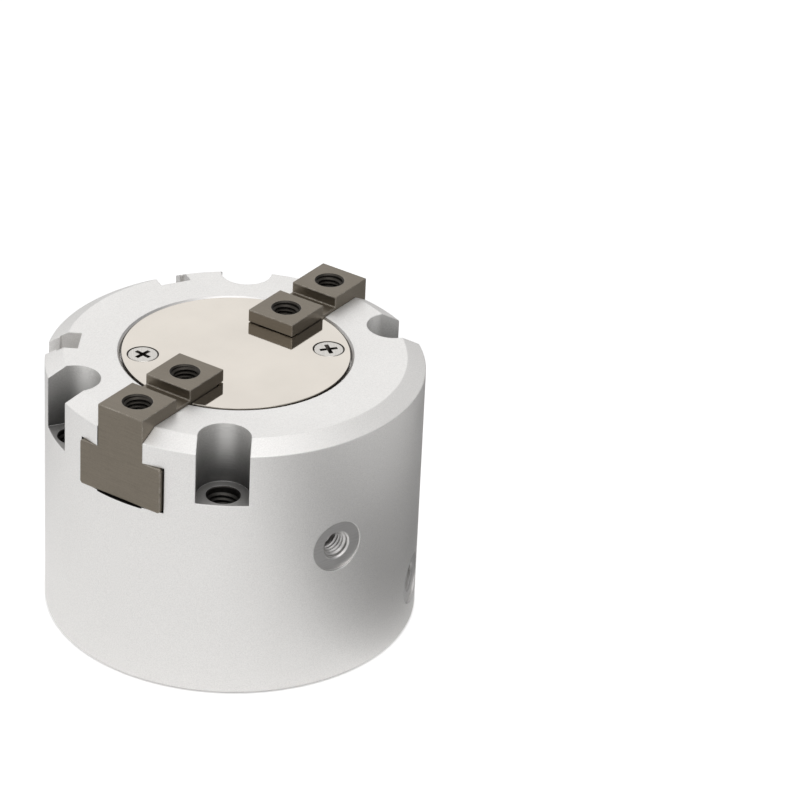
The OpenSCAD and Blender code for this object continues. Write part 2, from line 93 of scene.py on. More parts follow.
class HousingSizes(bpy.types.PropertyGroup):
    """Sizes of the turned and milled housing"""

    rim_bevel_w: length("Rim bevel width", "Radial width of the bevel round the top rim", 3.5)
    rim_bevel_h: length("Rim bevel height", "Height of the bevel round the top rim", 2.0)
    rim_round: length("Rim edge round", "Radius that breaks the two edges of the rim bevel", 0.22)
    base_bevel: length("Base bevel", "Small bevel round the base", 0.5)
    bore_r: length("Bore radius", "Radius of the cylinder", 25.0)
    seat_r: length("Cap seat radius", "Radius of the seat for the cap", 26.0)
    ring_groove_r: length("Ring groove radius", "Radius of the groove for the retaining ring", 27.2)
    pocket_r: length("Pocket radius", "Radius of the pocket that holds the cam", 14.72)
    recess_gap: length("Recess gap", "Gap between the end plate and its recess", 0.35)
    recess_bevel: length("Recess bevel", "Bevel round the recess for the end plate", 0.4)
    mount_r: length("Mounting radius", "Distance of the mounting holes from the axis", 31.2)
    mount_angle: angle("Mounting angle", "Angle of the mounting holes from the line of the jaws", 32.7)
    mount_hole_d: length("Mounting hole", "Inner diameter of the mounting holes' thread", 5.2)
    mount_head_d: length("Counterbore", "Diameter of the counterbores for the bolt heads", 9.6)
    mount_head_depth: length("Counterbore depth", "Depth of the counterbores", 12.0)
    groove_angle: angle("Groove angle", "Angle of each switch groove from the middle of its side", 30.5)
    groove_w: length("Groove width", "Width of the switch groove inside its lips", 6.0)
    groove_mouth_w: length("Groove mouth", "Width of the switch groove between its lips", 5.0)
    groove_depth: length("Groove depth", "Depth of the switch groove", 6.2)
    groove_lip_t: length("Groove lip", "Thickness of the switch groove's lips", 2.2)
    port_angle: angle("Port angle", "Angle of each air port from the middle of its side", 21.0)
    port_flat_d: length("Port flat", "Diameter of the flat round each air port", 10.0)
    port_flat_depth: length("Port flat depth", "Depth of the flat round each air port", 0.5)
    port_depth: length("Port depth", "Depth of the air ports below their flats", 5.0)
    port_close_z: length("Closing port height", "Height of the port that closes the jaws", 28.6)
    port_open_z: length("Opening port height", "Height of the port that opens the jaws", 9.5)
    facets: IntProperty(name="Facets", description="Facets round the housing", default=360, min=48, max=720)


class JawSizes(bpy.types.PropertyGroup):
    """Sizes of the two T-section jaws"""

    neck_w: length("Neck width", "Width of the neck of the T section", 10.0)
    foot_w: length("Foot width", "Width of the foot of the T section", 18.0)
    foot_z0: length("Foot underside", "Height of the underside of the foot", 36.9)
    foot_z1: length("Foot shoulder", "Height of the shoulder of the foot", 46.0)
    long_bevel: length("Long bevel", "Bevel on the long edges of the foot", 0.4)
    edge_round: length("Edge round", "Radius that breaks every edge", 0.16)
    block_l: length("Block length", "Length of each raised block", 10.0)
    key_w: length("Key groove", "Width of the key groove between the blocks", 4.0)
    key_depth: length("Key groove depth", "Depth of the key groove", 2.1)
    block_overhang: length("Overhang", "Overhang of the inner block over the end plate", 1.8)
    slot_gap: length("Slot gap", "Gap between a jaw and the end plate", 0.15)
    tip_half_gap: length("Tip gap", "Half the space between the tips of the closed jaws", 1.5)
    hole_depth: length("Hole depth", "Depth of the finger screw holes", 8.0)
    hole_countersink: length("Hole countersink", "Width of the countersinks on the screw holes", 0.7)


class WedgeSizes(bpy.types.PropertyGroup):
    """Sizes of the slanted T slot that the cam drives each jaw with"""

    top_half: length("Half length", "Half length of the cam at its top", 7.0)
    top_z: length("Top", "Height of the top of the cam with the jaws closed", 41.8)
    ratio: FloatProperty(name="Ratio", description="Jaw travel for each millimetre of stroke", default=0.75)
    stem_w: length("Stem width", "Width of the stem of the T", 3.4)
    head_w: length("Head width", "Width of the head of the T", 6.2)
    layer_t: length("Layer", "Thickness of the stem of the T, and of its head", 1.7)
    gap: length("Gap", "Gap round the T", 0.05)


class PlateSizes(bpy.types.PropertyGroup):
    """Sizes of the end plate and its screws"""

    screw_r: length("Screw place", "Distance of the screws from the axis", 17.118)
    head_d: length("Head diameter", "Diameter of the screw heads", 5.5)
    head_h: length("Head height", "Height of the countersunk heads", 1.525)
    sink_gap: length("Countersink gap", "Gap that shows round the screw heads", 0.22)
    recess_l: length("Recess length", "Length of each bar of the cross recess", 3.4)
    recess_w: length("Recess width", "Width of each bar of the cross recess", 0.78)
    recess_depth: length("Recess depth", "Depth of the cross recess", 1.1)
    edge_round: length("Edge round", "Radius that breaks the top edge of the plate", 0.1)


class ThreadSizes(bpy.types.PropertyGroup):
    """Sizes of the modelled screw threads"""

    finger_d: length("Finger thread", "Outer diameter of the threads in the jaws and ports", 5.0)
    finger_inner_d: length("Finger thread bore", "Inner diameter of the threads in the jaws and ports", 4.2)
    finger_pitch: length("Finger pitch", "Pitch of the threads in the jaws and ports", 0.8)
    mount_d: length("Mounting thread", "Outer diameter of the threads in the mounting holes", 6.0)
    mount_pitch: length("Mounting pitch", "Pitch of the threads in the mounting holes", 1.0)
    steps: IntProperty(name="Steps", description="Facets round a turn of thread", default=32, min=12, max=96)


class Finishes(bpy.types.PropertyGroup):
    """Colours of the finished surfaces"""

    aluminium: tone("Aluminium", "Blasted and anodised aluminium", 0.86, 0.848, 0.832)
    machined: tone("Machined aluminium", "Bare milled aluminium inside holes and slots", 0.66, 0.65, 0.64)
    jaw_steel: tone("Jaw steel", "Hardened, ground and treated steel of the jaws", 0.195, 0.17, 0.136)
    jaw_worn: tone("Worn jaw steel", "Bare steel along the worn edges of the jaws", 0.60, 0.56, 0.50)
    pocket: tone("Screw pocket", "Milled and anodised aluminium of the screw pockets", 0.82, 0.81, 0.79)
    # Painted shade: near black for the insides of the mounting holes, their threads and the jaw slot.
    hole_shade: tone("Deep hole", "Aluminium painted dark for the shade in mounting holes and jaw slots", 0.06, 0.057, 0.053)
    # Painted shade: near black for the jaws' tapped holes and threads, the cross recesses and the plate's
    # countersinks.
    thread: tone("Thread", "Steel painted dark for the shade in tapped holes, cross recesses and countersinks", 0.045, 0.04, 0.034)
    plate_steel: tone("Plate steel", "Polished stainless end plate", 0.572, 0.533, 0.482)
    bright_steel: tone("Bright steel", "Plated screws and ground rod", 0.55, 0.53, 0.50)
    dark_steel: tone("Dark steel", "Phosphated ring and washer", 0.10, 0.10, 0.105)
    black_steel: tone("Black steel", "Black oxide on the cam bolt", 0.035, 0.035, 0.038)
    bronze: tone("Bronze", "Sintered bush", 0.50, 0.33, 0.16)
    rubber: tone("Rubber", "Moulded seals", 0.018, 0.018, 0.02)
    urethane: tone("Urethane", "Moulded bumpers", 0.05, 0.05, 0.052)
    resin: tone("Resin", "Filled resin of the wear ring", 0.28, 0.17, 0.10)
    magnet: tone("Magnet", "Plastic-bonded magnet", 0.045, 0.042, 0.042)


class StageSettings(bpy.types.PropertyGroup):
    """Floor, light and camera"""

    floor: tone("Floor", "Colour of the plain pale floor", 0.86, 0.86, 0.86)
    floor_lift: FloatProperty(name="Floor lift", description="The floor's glow for the camera", default=0.59)
    focus_distance: length("Camera distance", "Distance of the camera from the middle of the top face", 723.9)
    azimuth: angle("Camera azimuth", "Angle of the camera round the object", -54.3)
    elevation: angle("Camera elevation", "Angle of the camera above the horizon", 28.91)
    turn: angle("Camera turn", "Turn to the right, away from the middle of the top face", 2.398)
    tilt: angle("Camera tilt", "Tilt up, away from the middle of the top face", -0.644)
    roll: angle("Camera roll", "Roll of the camera about its line of sight", 1.464)
    lens: FloatProperty(name="Lens", description="Focal length in mm on a 36 mm sensor", default=177.45)
    key_watts: FloatProperty(name="Key light", description="Power of the key light", default=0.5)
    fill_watts: FloatProperty(name="Fill light", description="Power of the fill light", default=0.12)
    top_watts: FloatProperty(name="Top light", description="Power of the light overhead", default=2.6)
    room_dark: FloatProperty(name="Dark side", description="Level of the room's dark side", default=0.12)
    sky: FloatProperty(name="Sky", description="Level of the world's light", default=0.46)


GROUPS = {
    "gripper_housing": HousingSizes,
    "gripper_jaws": JawSizes,
    "gripper_wedge": WedgeSizes,
    "gripper_plate": PlateSizes,
    "gripper_threads": ThreadSizes,
    "gripper_finishes": Finishes,
    "gripper_stage": StageSettings,
}


# ---- node groups: effects that several finishes share ----


def add_node(tree, kind, place, **settings):
    """A node with its properties set; a setting whose name is a socket sets that socket."""
    made = tree.nodes.new(kind)
    made.location = place
    for key, value in settings.items():
        if key in made.inputs:
            made.inputs[key].default_value = value
        else:
            setattr(made, key, value)
    return made


def feed(tree, socket, value):
    """Links another socket to this one, or sets it to a number or a colour."""
    if isinstance(value, bpy.types.NodeSocket):
        tree.links.new(value, socket)
    elif isinstance(value, (int, float)):
        socket.default_value = value
    else:
        socket.default_value = (*value, 1.0)


def maths(tree, operation, first, second, place, clamp=False):
    """A Math node on two sockets or numbers; returns its output."""
    made = add_node(tree, "ShaderNodeMath", place, operation=operation, use_clamp=clamp)
    feed(tree, made.inputs[0], first)
    feed(tree, made.inputs[1], second)
    return made.outputs[0]


def span(tree, value, low, high, to_low, to_high, place):
    """Maps a value from one range to another; returns the output."""
    made = add_node(tree, "ShaderNodeMapRange", place)
    tree.links.new(value, made.inputs["Value"])
    for key, number in (("From Min", low), ("From Max", high), ("To Min", to_low), ("To Max", to_high)):
        made.inputs[key].default_value = number
    return made.outputs["Result"]


def reach_along(tree, point, direction, place):
    """How far a point lies along a direction; returns the output."""
    made = add_node(tree, "ShaderNodeVectorMath", place, operation="DOT_PRODUCT")
    made.inputs[1].default_value = direction
    tree.links.new(point, made.inputs[0])
    return made.outputs["Value"]


def split(tree, point, place):
    """The X, Y and Z outputs of a point."""
    made = add_node(tree, "ShaderNodeSeparateXYZ", place)
    tree.links.new(point, made.inputs[0])
    return made.outputs


def start_group(name, inputs, outputs):
    """An empty shader node group with named sockets; returns its tree, its input node and its output node."""
    tree = bpy.data.node_groups.new(name, "ShaderNodeTree")
    for label, default in inputs:
        socket = tree.interface.new_socket(name=label, in_out="INPUT", socket_type="NodeSocketFloat")
        socket.default_value = default
    for label, kind in outputs:
        tree.interface.new_socket(name=label, in_out="OUTPUT", socket_type=kind)
    given = add_node(tree, "NodeGroupInput", (-1000, 0))
    out = add_node(tree, "NodeGroupOutput", (800, 0))
    return tree, given, out


def make_edge_group(name):
    """Rounds every hard edge for the light, and masks where wear would reach."""
    tree, given, out = start_group(
        name,
        [("Radius", 0.00015), ("Patchiness", 0.5), ("Patch Scale", 900.0)],
        [("Wear", "NodeSocketFloat"), ("Normal", "NodeSocketVector")],
    )
    bevel = add_node(tree, "ShaderNodeBevel", (-700, 150), samples=4)
    tree.links.new(given.outputs["Radius"], bevel.inputs["Radius"])
    face = add_node(tree, "ShaderNodeNewGeometry", (-700, -50))
    dot = add_node(tree, "ShaderNodeVectorMath", (-500, 50), operation="DOT_PRODUCT")
    tree.links.new(bevel.outputs["Normal"], dot.inputs[0])
    tree.links.new(face.outputs["Normal"], dot.inputs[1])
    edge = span(tree, dot.outputs["Value"], 0.995, 0.80, 0.0, 1.0, (-300, 50))
    spot = add_node(tree, "ShaderNodeTexCoord", (-900, -250))
    patch = add_node(tree, "ShaderNodeTexNoise", (-500, -250), Detail=3.0, Roughness=0.6)
    tree.links.new(spot.outputs["Object"], patch.inputs["Vector"])
    tree.links.new(given.outputs["Patch Scale"], patch.inputs["Scale"])
    broken = span(tree, patch.outputs["Fac"], 0.35, 0.62, 0.0, 1.0, (-300, -250))
    whole = maths(tree, "SUBTRACT", 1.0, given.outputs["Patchiness"], (-300, -450))
    kept = maths(tree, "MAXIMUM", broken, whole, (-100, -300), clamp=True)
    wear = maths(tree, "MULTIPLY", edge, kept, (100, 0), clamp=True)
    tree.links.new(wear, out.inputs["Wear"])
    tree.links.new(bevel.outputs["Normal"], out.inputs["Normal"])


def make_grain_group(name):
    """Fine blasted grain with slow, faint blotches."""
    tree, given, out = start_group(
        name,
        [("Grain Size", 0.00025), ("Blotch Size", 0.012)],
        [("Height", "NodeSocketFloat"), ("Speck", "NodeSocketFloat"), ("Blotch", "NodeSocketFloat")],
    )
    spot = add_node(tree, "ShaderNodeTexCoord", (-900, 200))
    fine = add_node(tree, "ShaderNodeTexNoise", (-400, 200), Detail=2.0, Roughness=0.55)
    tree.links.new(spot.outputs["Object"], fine.inputs["Vector"])
    fine_scale = maths(tree, "DIVIDE", 1.0, given.outputs["Grain Size"], (-650, 100))
    tree.links.new(fine_scale, fine.inputs["Scale"])
    slow = add_node(tree, "ShaderNodeTexNoise", (-400, -150), Detail=2.0, Roughness=0.5)
    tree.links.new(spot.outputs["Object"], slow.inputs["Vector"])
    slow_scale = maths(tree, "DIVIDE", 1.0, given.outputs["Blotch Size"], (-650, -200))
    tree.links.new(slow_scale, slow.inputs["Scale"])
    tree.links.new(fine.outputs["Fac"], out.inputs["Height"])
    tree.links.new(span(tree, fine.outputs["Fac"], 0.3, 0.7, 0.0, 1.0, (-100, 200)), out.inputs["Speck"])
    tree.links.new(span(tree, slow.outputs["Fac"], 0.3, 0.7, 0.0, 1.0, (-100, -150)), out.inputs["Blotch"])


def make_ground_group(name):
    """Straight grinding marks that run along X, or along Y with Along Y at 1."""
    tree, given, out = start_group(
        name,
        [("Mark Width", 0.00018), ("Stretch", 30.0), ("Along Y", 0.0)],
        [("Height", "NodeSocketFloat"), ("Streak", "NodeSocketFloat")],
    )
    spot = add_node(tree, "ShaderNodeTexCoord", (-1000, 200))
    parts = split(tree, spot.outputs["Object"], (-850, 200))
    cross = maths(tree, "DIVIDE", 1.0, given.outputs["Mark Width"], (-850, -50))
    along = maths(tree, "DIVIDE", cross, given.outputs["Stretch"], (-700, -50))
    flip = maths(tree, "SUBTRACT", 1.0, given.outputs["Along Y"], (-850, -250))
    joined = add_node(tree, "ShaderNodeCombineXYZ", (-150, 200))
    for index, (keep, other) in enumerate(((along, cross), (cross, along))):
        straight = maths(tree, "MULTIPLY", keep, flip, (-550, 200 - index * 300))
        turned = maths(tree, "MULTIPLY", other, given.outputs["Along Y"], (-550, 50 - index * 300))
        scale = maths(tree, "ADD", straight, turned, (-400, 100 - index * 300))
        place = maths(tree, "MULTIPLY", parts[index], scale, (-250, 100 - index * 300))
        tree.links.new(place, joined.inputs[index])
    tree.links.new(maths(tree, "MULTIPLY", parts[2], cross, (-250, -500)), joined.inputs[2])
    marks = add_node(tree, "ShaderNodeTexNoise", (50, 200), Scale=1.0, Detail=3.0, Roughness=0.65)
    tree.links.new(joined.outputs[0], marks.inputs["Vector"])
    tree.links.new(marks.outputs["Fac"], out.inputs["Height"])
    tree.links.new(span(tree, marks.outputs["Fac"], 0.3, 0.7, 0.0, 1.0, (300, 0)), out.inputs["Streak"])


def make_turned_group(name):
    """Fine rings round the Z axis, as a lathe leaves them."""
    tree, given, out = start_group(
        name,
        [("Ring Width", 0.00020), ("Unevenness", 0.35)],
        [("Height", "NodeSocketFloat"), ("Ring", "NodeSocketFloat")],
    )
    spot = add_node(tree, "ShaderNodeTexCoord", (-1000, 200))
    parts = split(tree, spot.outputs["Object"], (-850, 200))
    flat = add_node(tree, "ShaderNodeCombineXYZ", (-700, 200))
    tree.links.new(parts[0], flat.inputs[0])
    tree.links.new(parts[1], flat.inputs[1])
    reach = add_node(tree, "ShaderNodeVectorMath", (-550, 200), operation="LENGTH")
    tree.links.new(flat.outputs[0], reach.inputs[0])
    turns = maths(tree, "DIVIDE", reach.outputs["Value"], given.outputs["Ring Width"], (-400, 200))
    rise = maths(tree, "DIVIDE", parts[2], given.outputs["Ring Width"], (-400, 50))
    place = add_node(tree, "ShaderNodeCombineXYZ", (-250, 150))
    tree.links.new(turns, place.inputs[0])
    tree.links.new(rise, place.inputs[1])
    rings = add_node(tree, "ShaderNodeTexNoise", (-80, 150), Scale=1.0, Detail=2.0, Roughness=0.6)
    tree.links.new(place.outputs[0], rings.inputs["Vector"])
    slow = add_node(tree, "ShaderNodeTexNoise", (-80, -100), Scale=60.0, Detail=1.0)
    tree.links.new(spot.outputs["Object"], slow.inputs["Vector"])
    drift = maths(tree, "MULTIPLY", slow.outputs["Fac"], given.outputs["Unevenness"], (100, -100))
    tree.links.new(rings.outputs["Fac"], out.inputs["Height"])
    ring = span(tree, rings.outputs["Fac"], 0.3, 0.7, 0.0, 1.0, (100, 150))
    tree.links.new(maths(tree, "SUBTRACT", ring, drift, (300, 50), clamp=True), out.inputs["Ring"])


SHARED_GROUPS = {
    "Broken Edges": make_edge_group,
    "Blasted Grain": make_grain_group,
    "Ground Marks": make_ground_group,
    "Turned Marks": make_turned_group,
}


def use_group(tree, name, place, **values):
    """Places a shared group, made when first asked for; values are its inputs with _ for a space."""
    if name not in bpy.data.node_groups:
        SHARED_GROUPS[name](name)
    made = add_node(tree, "ShaderNodeGroup", place)
    made.node_tree = bpy.data.node_groups[name]
    for key, value in values.items():
        made.inputs[key.replace("_", " ")].default_value = value
    return made


# ---- finishes ----


def start_finish(name, metallic, roughness, specular=0.5):
    """An empty material with its shader; returns the tree and the shader."""
    material = bpy.data.materials.new(name)
    material.use_nodes = True
    tree = material.node_tree
    shader = tree.nodes["Principled BSDF"]
    shader.location = (500, 200)
    tree.nodes["Material Output"].location = (800, 200)
    shader.inputs["Metallic"].default_value = metallic
    shader.inputs["Roughness"].default_value = roughness
    shader.inputs["Specular IOR Level"].default_value = specular
    return tree, shader


def blend_tones(tree, mask, low, high, place):
    """Mixes two colours or colour sockets by a mask or a number; returns the colour output."""
    made = add_node(tree, "ShaderNodeMix", place, data_type="RGBA")
    feed(tree, made.inputs[MIX_FACTOR], mask)
    feed(tree, made.inputs[MIX_LOW], low)
    feed(tree, made.inputs[MIX_HIGH], high)
    return made.outputs[MIX_RESULT]


def shade(colour, factor):
    """A colour made darker or lighter."""
    return tuple(min(1.0, part * factor) for part in colour)


def bump(tree, shader, height, distance, strength, place, normal=None):
    """Raises a height on the shader's surface, on top of a normal where one is given."""
    made = add_node(tree, "ShaderNodeBump", place, Strength=strength, Distance=distance)
    tree.links.new(height, made.inputs["Height"])
    if normal is not None:
        tree.links.new(normal, made.inputs["Normal"])
    tree.links.new(made.outputs["Normal"], shader.inputs["Normal"])


def make_blasted(name, colour, metallic, roughness, grain_size=0.00022):
    """Bead-blasted, clear anodised aluminium, whose edges are lightened partly for wear and partly as a
    painted highlight.
    """
    tree, shader = start_finish(name, metallic, roughness)
    grain = use_group(tree, "Blasted Grain", (-500, 200), Grain_Size=grain_size, Blotch_Size=0.014)
    edges = use_group(tree, "Broken Edges", (-500, -150), Radius=0.0003, Patchiness=0.3, Patch_Scale=700.0)
    specks = blend_tones(tree, grain.outputs["Speck"], shade(colour, 0.93), shade(colour, 1.05), (-200, 300))
    # Lighter edges: partly edge wear, partly a painted highlight along every edge.
    worn = maths(tree, "MULTIPLY", edges.outputs["Wear"], 0.8, (-200, 0))
    base = blend_tones(tree, worn, specks, shade(colour, 1.18), (50, 250))
    tree.links.new(base, shader.inputs["Base Color"])
    rough = span(tree, grain.outputs["Blotch"], 0.0, 1.0, roughness - 0.03, roughness + 0.04, (50, 50))
    tree.links.new(rough, shader.inputs["Roughness"])
    bump(tree, shader, grain.outputs["Height"], 0.00002, 0.22, (50, -200), edges.outputs["Normal"])


def make_machined(name, colour, roughness, metallic=0.92, painted_depth_shade=None):
    """Milled aluminium inside holes and slots; the optional (low z, high z, share of the tone left below)
    paints shade that darkens the colour towards low z.
    """
    tree, shader = start_finish(name, metallic, roughness)
    marks = use_group(tree, "Turned Marks", (-500, 200), Ring_Width=0.00035, Unevenness=0.4)
    grain = use_group(tree, "Blasted Grain", (-500, 450), Grain_Size=0.0003, Blotch_Size=0.004)
    edges = use_group(tree, "Broken Edges", (-500, -150), Radius=0.00016, Patchiness=0.2, Patch_Scale=700.0)
    rings = blend_tones(tree, marks.outputs["Ring"], shade(colour, 0.86), shade(colour, 1.08), (-250, 300))
    patches = blend_tones(tree, grain.outputs["Blotch"], rings, colour, (-100, 400))
    # Painted shade: the colour darkens from high z down to low z, so a hollow looks shaded towards its
    # bottom.
    if painted_depth_shade is not None:
        low, high, left = painted_depth_shade
        spot = add_node(tree, "ShaderNodeTexCoord", (-500, 700))
        height = split(tree, spot.outputs["Object"], (-300, 700))["Z"]
        rise = span(tree, height, low, high, 0.0, 1.0, (-100, 650))
        patches = blend_tones(tree, rise, shade(colour, left), patches, (0, 450))
    worn = maths(tree, "MULTIPLY", edges.outputs["Wear"], 0.7, (-200, 0))
    base = blend_tones(tree, worn, patches, shade(colour, 1.35), (80, 250))
    tree.links.new(base, shader.inputs["Base Color"])
    tree.links.new(
        span(tree, marks.outputs["Ring"], 0.0, 1.0, roughness + 0.06, roughness - 0.05, (50, 50)),
        shader.inputs["Roughness"],
    )
    bump(tree, shader, marks.outputs["Height"], 0.00002, 0.2, (50, -200), edges.outputs["Normal"])


def make_jaw_steel(name, colour, worn_colour):
    """Ground and treated steel with fine grinding marks and bare, worn edges."""
    tree, shader = start_finish(name, 0.9, 0.38)
    marks = use_group(tree, "Ground Marks", (-700, 300), Mark_Width=0.00022, Stretch=26.0, Along_Y=1.0)
    grain = use_group(tree, "Blasted Grain", (-700, 0), Grain_Size=0.0003, Blotch_Size=0.006)
    edges = use_group(tree, "Broken Edges", (-700, -300), Radius=0.0004, Patchiness=0.6, Patch_Scale=800.0)
    streaks = blend_tones(
        tree, marks.outputs["Streak"], shade(colour, 0.84), shade(colour, 1.16), (-400, 300)
    )
    specks = blend_tones(tree, grain.outputs["Speck"], shade(colour, 0.9), shade(colour, 1.1), (-400, 100))
    ground = blend_tones(tree, 0.5, streaks, specks, (-200, 250))
    worn = maths(tree, "MULTIPLY", edges.outputs["Wear"], 0.9, (-200, 0))
    base = blend_tones(tree, worn, ground, worn_colour, (50, 250))
    tree.links.new(base, shader.inputs["Base Color"])
    mixed = maths(tree, "ADD", marks.outputs["Streak"], grain.outputs["Blotch"], (-200, -150))
    tree.links.new(span(tree, mixed, 0.0, 2.0, 0.32, 0.44, (50, 50)), shader.inputs["Roughness"])
    bump(tree, shader, marks.outputs["Height"], 0.00002, 0.3, (50, -200), edges.outputs["Normal"])


def make_polished(name, colour, roughness):
    """Polished sheet with hair-fine marks and faint smudges."""
    tree, shader = start_finish(name, 1.0, roughness)
    marks = use_group(tree, "Ground Marks", (-500, 300), Mark_Width=0.00012, Stretch=60.0, Along_Y=0.0)
    grain = use_group(tree, "Blasted Grain", (-500, 0), Grain_Size=0.0008, Blotch_Size=0.011)
    edges = use_group(tree, "Broken Edges", (-500, -250), Radius=0.0001, Patchiness=0.2, Patch_Scale=700.0)
    base = blend_tones(tree, grain.outputs["Blotch"], shade(colour, 0.96), shade(colour, 1.03), (-100, 250))
    tree.links.new(base, shader.inputs["Base Color"])
    mixed = maths(tree, "ADD", marks.outputs["Streak"], grain.outputs["Blotch"], (-250, 50))
    rough = span(tree, mixed, 0.0, 2.0, roughness * 0.7, roughness * 1.35, (-50, 50))
    tree.links.new(rough, shader.inputs["Roughness"])
    bump(tree, shader, marks.outputs["Height"], 0.000004, 0.12, (50, -200), edges.outputs["Normal"])


def make_turned(name, colour, metallic, roughness, ring_width=0.0002):
    """Turned or ground round parts."""
    tree, shader = start_finish(name, metallic, roughness)
    marks = use_group(tree, "Turned Marks", (-500, 200), Ring_Width=ring_width, Unevenness=0.3)
    edges = use_group(tree, "Broken Edges", (-500, -150), Radius=0.00014, Patchiness=0.4, Patch_Scale=900.0)
    rings = blend_tones(tree, marks.outputs["Ring"], shade(colour, 0.9), shade(colour, 1.08), (-200, 250))
    worn = maths(tree, "MULTIPLY", edges.outputs["Wear"], 0.5, (-200, 0))
    tree.links.new(blend_tones(tree, worn, rings, shade(colour, 1.3), (50, 250)), shader.inputs["Base Color"])
    rough = span(tree, marks.outputs["Ring"], 0.0, 1.0, roughness + 0.05, roughness - 0.05, (50, 50))
    tree.links.new(rough, shader.inputs["Roughness"])
    bump(tree, shader, marks.outputs["Height"], 0.00001, 0.25, (50, -200), edges.outputs["Normal"])


def make_moulded(name, colour, roughness):
    """Moulded rubber, resin or bonded magnet: matt, with a faint grain."""
    tree, shader = start_finish(name, 0.0, roughness, 0.4)
    grain = use_group(tree, "Blasted Grain", (-500, 200), Grain_Size=0.0002, Blotch_Size=0.003)
    base = blend_tones(tree, grain.outputs["Speck"], shade(colour, 0.85), shade(colour, 1.2), (-200, 250))
    tree.links.new(base, shader.inputs["Base Color"])
    rough = span(tree, grain.outputs["Blotch"], 0.0, 1.0, roughness - 0.05, roughness + 0.05, (50, 50))
    tree.links.new(rough, shader.inputs["Roughness"])
    bump(tree, shader, grain.outputs["Height"], 0.00002, 0.3, (50, -200))


def finish(slot_name):
    """The material for one of the record's slots, or for the machined surfaces; made when first asked for."""
    tones = bpy.context.scene.gripper_finishes
    top, deep = BODY_BOX[1].z, bpy.context.scene.gripper_housing.mount_head_depth
    makers = {
        "body_aluminium": lambda n: make_blasted(n, tones.aluminium, 0.82, 0.50),
        "machined_aluminium": lambda n: make_machined(n, tones.machined, 0.38),
        # Painted shade: the screw pockets darken towards their seat, down to 6% of their tone.
        "pocket_aluminium": lambda n: make_machined(n, tones.pocket, 0.42, 0.65, (top - deep, top, 0.06)),
        # Painted shade: the near-black finish of the mounting holes, their threads and the jaw slot.
        "tapped_aluminium": lambda n: make_machined(n, tones.hole_shade, 0.45),
        # Painted shade for the tapped holes, the cross recesses and the countersinks.
        "thread_steel": lambda n: make_turned(n, tones.thread, 0.8, 0.42, 0.00015),
        "cap_aluminium": lambda n: make_turned(n, tones.aluminium, 0.9, 0.36),
        "jaw_steel": lambda n: make_jaw_steel(n, tones.jaw_steel, tones.jaw_worn),
        "polished_steel": lambda n: make_polished(n, tones.plate_steel, 0.06),
        "screw_steel": lambda n: make_turned(n, tones.bright_steel, 1.0, 0.22, 0.00012),
        "bright_steel": lambda n: make_turned(n, tones.bright_steel, 1.0, 0.25),
        "spring_steel": lambda n: make_turned(n, tones.dark_steel, 0.8, 0.42),
        "black_steel": lambda n: make_turned(n, tones.black_steel, 0.7, 0.45),
        "cam_steel": lambda n: make_jaw_steel(n, shade(tones.jaw_worn, 0.9), tones.bright_steel),
        "bush_bronze": lambda n: make_turned(n, tones.bronze, 0.9, 0.48),
        "seal_rubber": lambda n: make_moulded(n, tones.rubber, 0.62),
        "bumper_rubber": lambda n: make_moulded(n, tones.urethane, 0.55),
        "wear_ring_resin": lambda n: make_moulded(n, tones.resin, 0.5),
        "magnet_compound": lambda n: make_moulded(n, tones.magnet, 0.6),
    }
    name = f"finished_{slot_name}"
    if name not in bpy.data.materials:
        makers[slot_name](name)
    return bpy.data.materials[name]


# ---- mesh tools ----


def mesh_object(name, mesh_maker, *materials):
    """An object from a function that fills a bmesh, with doubled points merged and the given materials."""
    mesh = bpy.data.meshes.new(name)
    bm = bmesh.new()
    mesh_maker(bm)
    bmesh.ops.remove_doubles(bm, verts=bm.verts, dist=1e-7)
    bmesh.ops.recalc_face_normals(bm, faces=bm.faces)
    bm.to_mesh(mesh)
    bm.free()
    made = bpy.data.objects.new(name, mesh)
    bpy.context.scene.collection.objects.link(made)
    for material in materials:
        mesh.materials.append(material)
    return made


def revolve(bm, profile, facets, place=None):
    """Turns an (r, z) outline, in metres, round the Z axis of place into a closed solid."""
    place = place or Matrix.Identity(4)
    rings = []
    for r, z in profile:
        if r < 1e-9:
            rings.append([bm.verts.new(place @ Vector((0, 0, z)))] * facets)
            continue
        rings.append([
            bm.verts.new(place @ Vector((r * math.cos(turn), r * math.sin(turn), z)))
            for turn in (2 * math.pi * step / facets for step in range(facets))
        ])
    for below, above in zip(rings, rings[1:] + rings[:1]):
        for step in range(facets):
            after = (step + 1) % facets
            corners = [below[step], below[after], above[after], above[step]]
            corners = [c for i, c in enumerate(corners) if c not in corners[:i]]
            if len(corners) > 2:
                bm.faces.new(corners)


def extrude_outline(bm, outline, low, high, place=None):
    """Makes a prism from an (x, y) outline between two heights of place."""
    place = place or Matrix.Identity(4)
    floor = [bm.verts.new(place @ Vector((x, y, low))) for x, y in outline]
    roof = [bm.verts.new(place @ Vector((x, y, high))) for x, y in outline]
    bm.faces.new(floor)
    bm.faces.new(roof)
    for i in range(len(outline)):
        j = (i + 1) % len(outline)
        bm.faces.new([floor[i], floor[j], roof[j], roof[i]])


def skin(bm, rings):
    """Joins rings of four corners into a closed bar."""
    for before, after in zip(rings, rings[1:]):
        for i in range(4):
            j = (i + 1) % 4
            bm.faces.new([before[i], before[j], after[j], after[i]])
    bm.faces.new(rings[0])
    bm.faces.new(rings[-1])


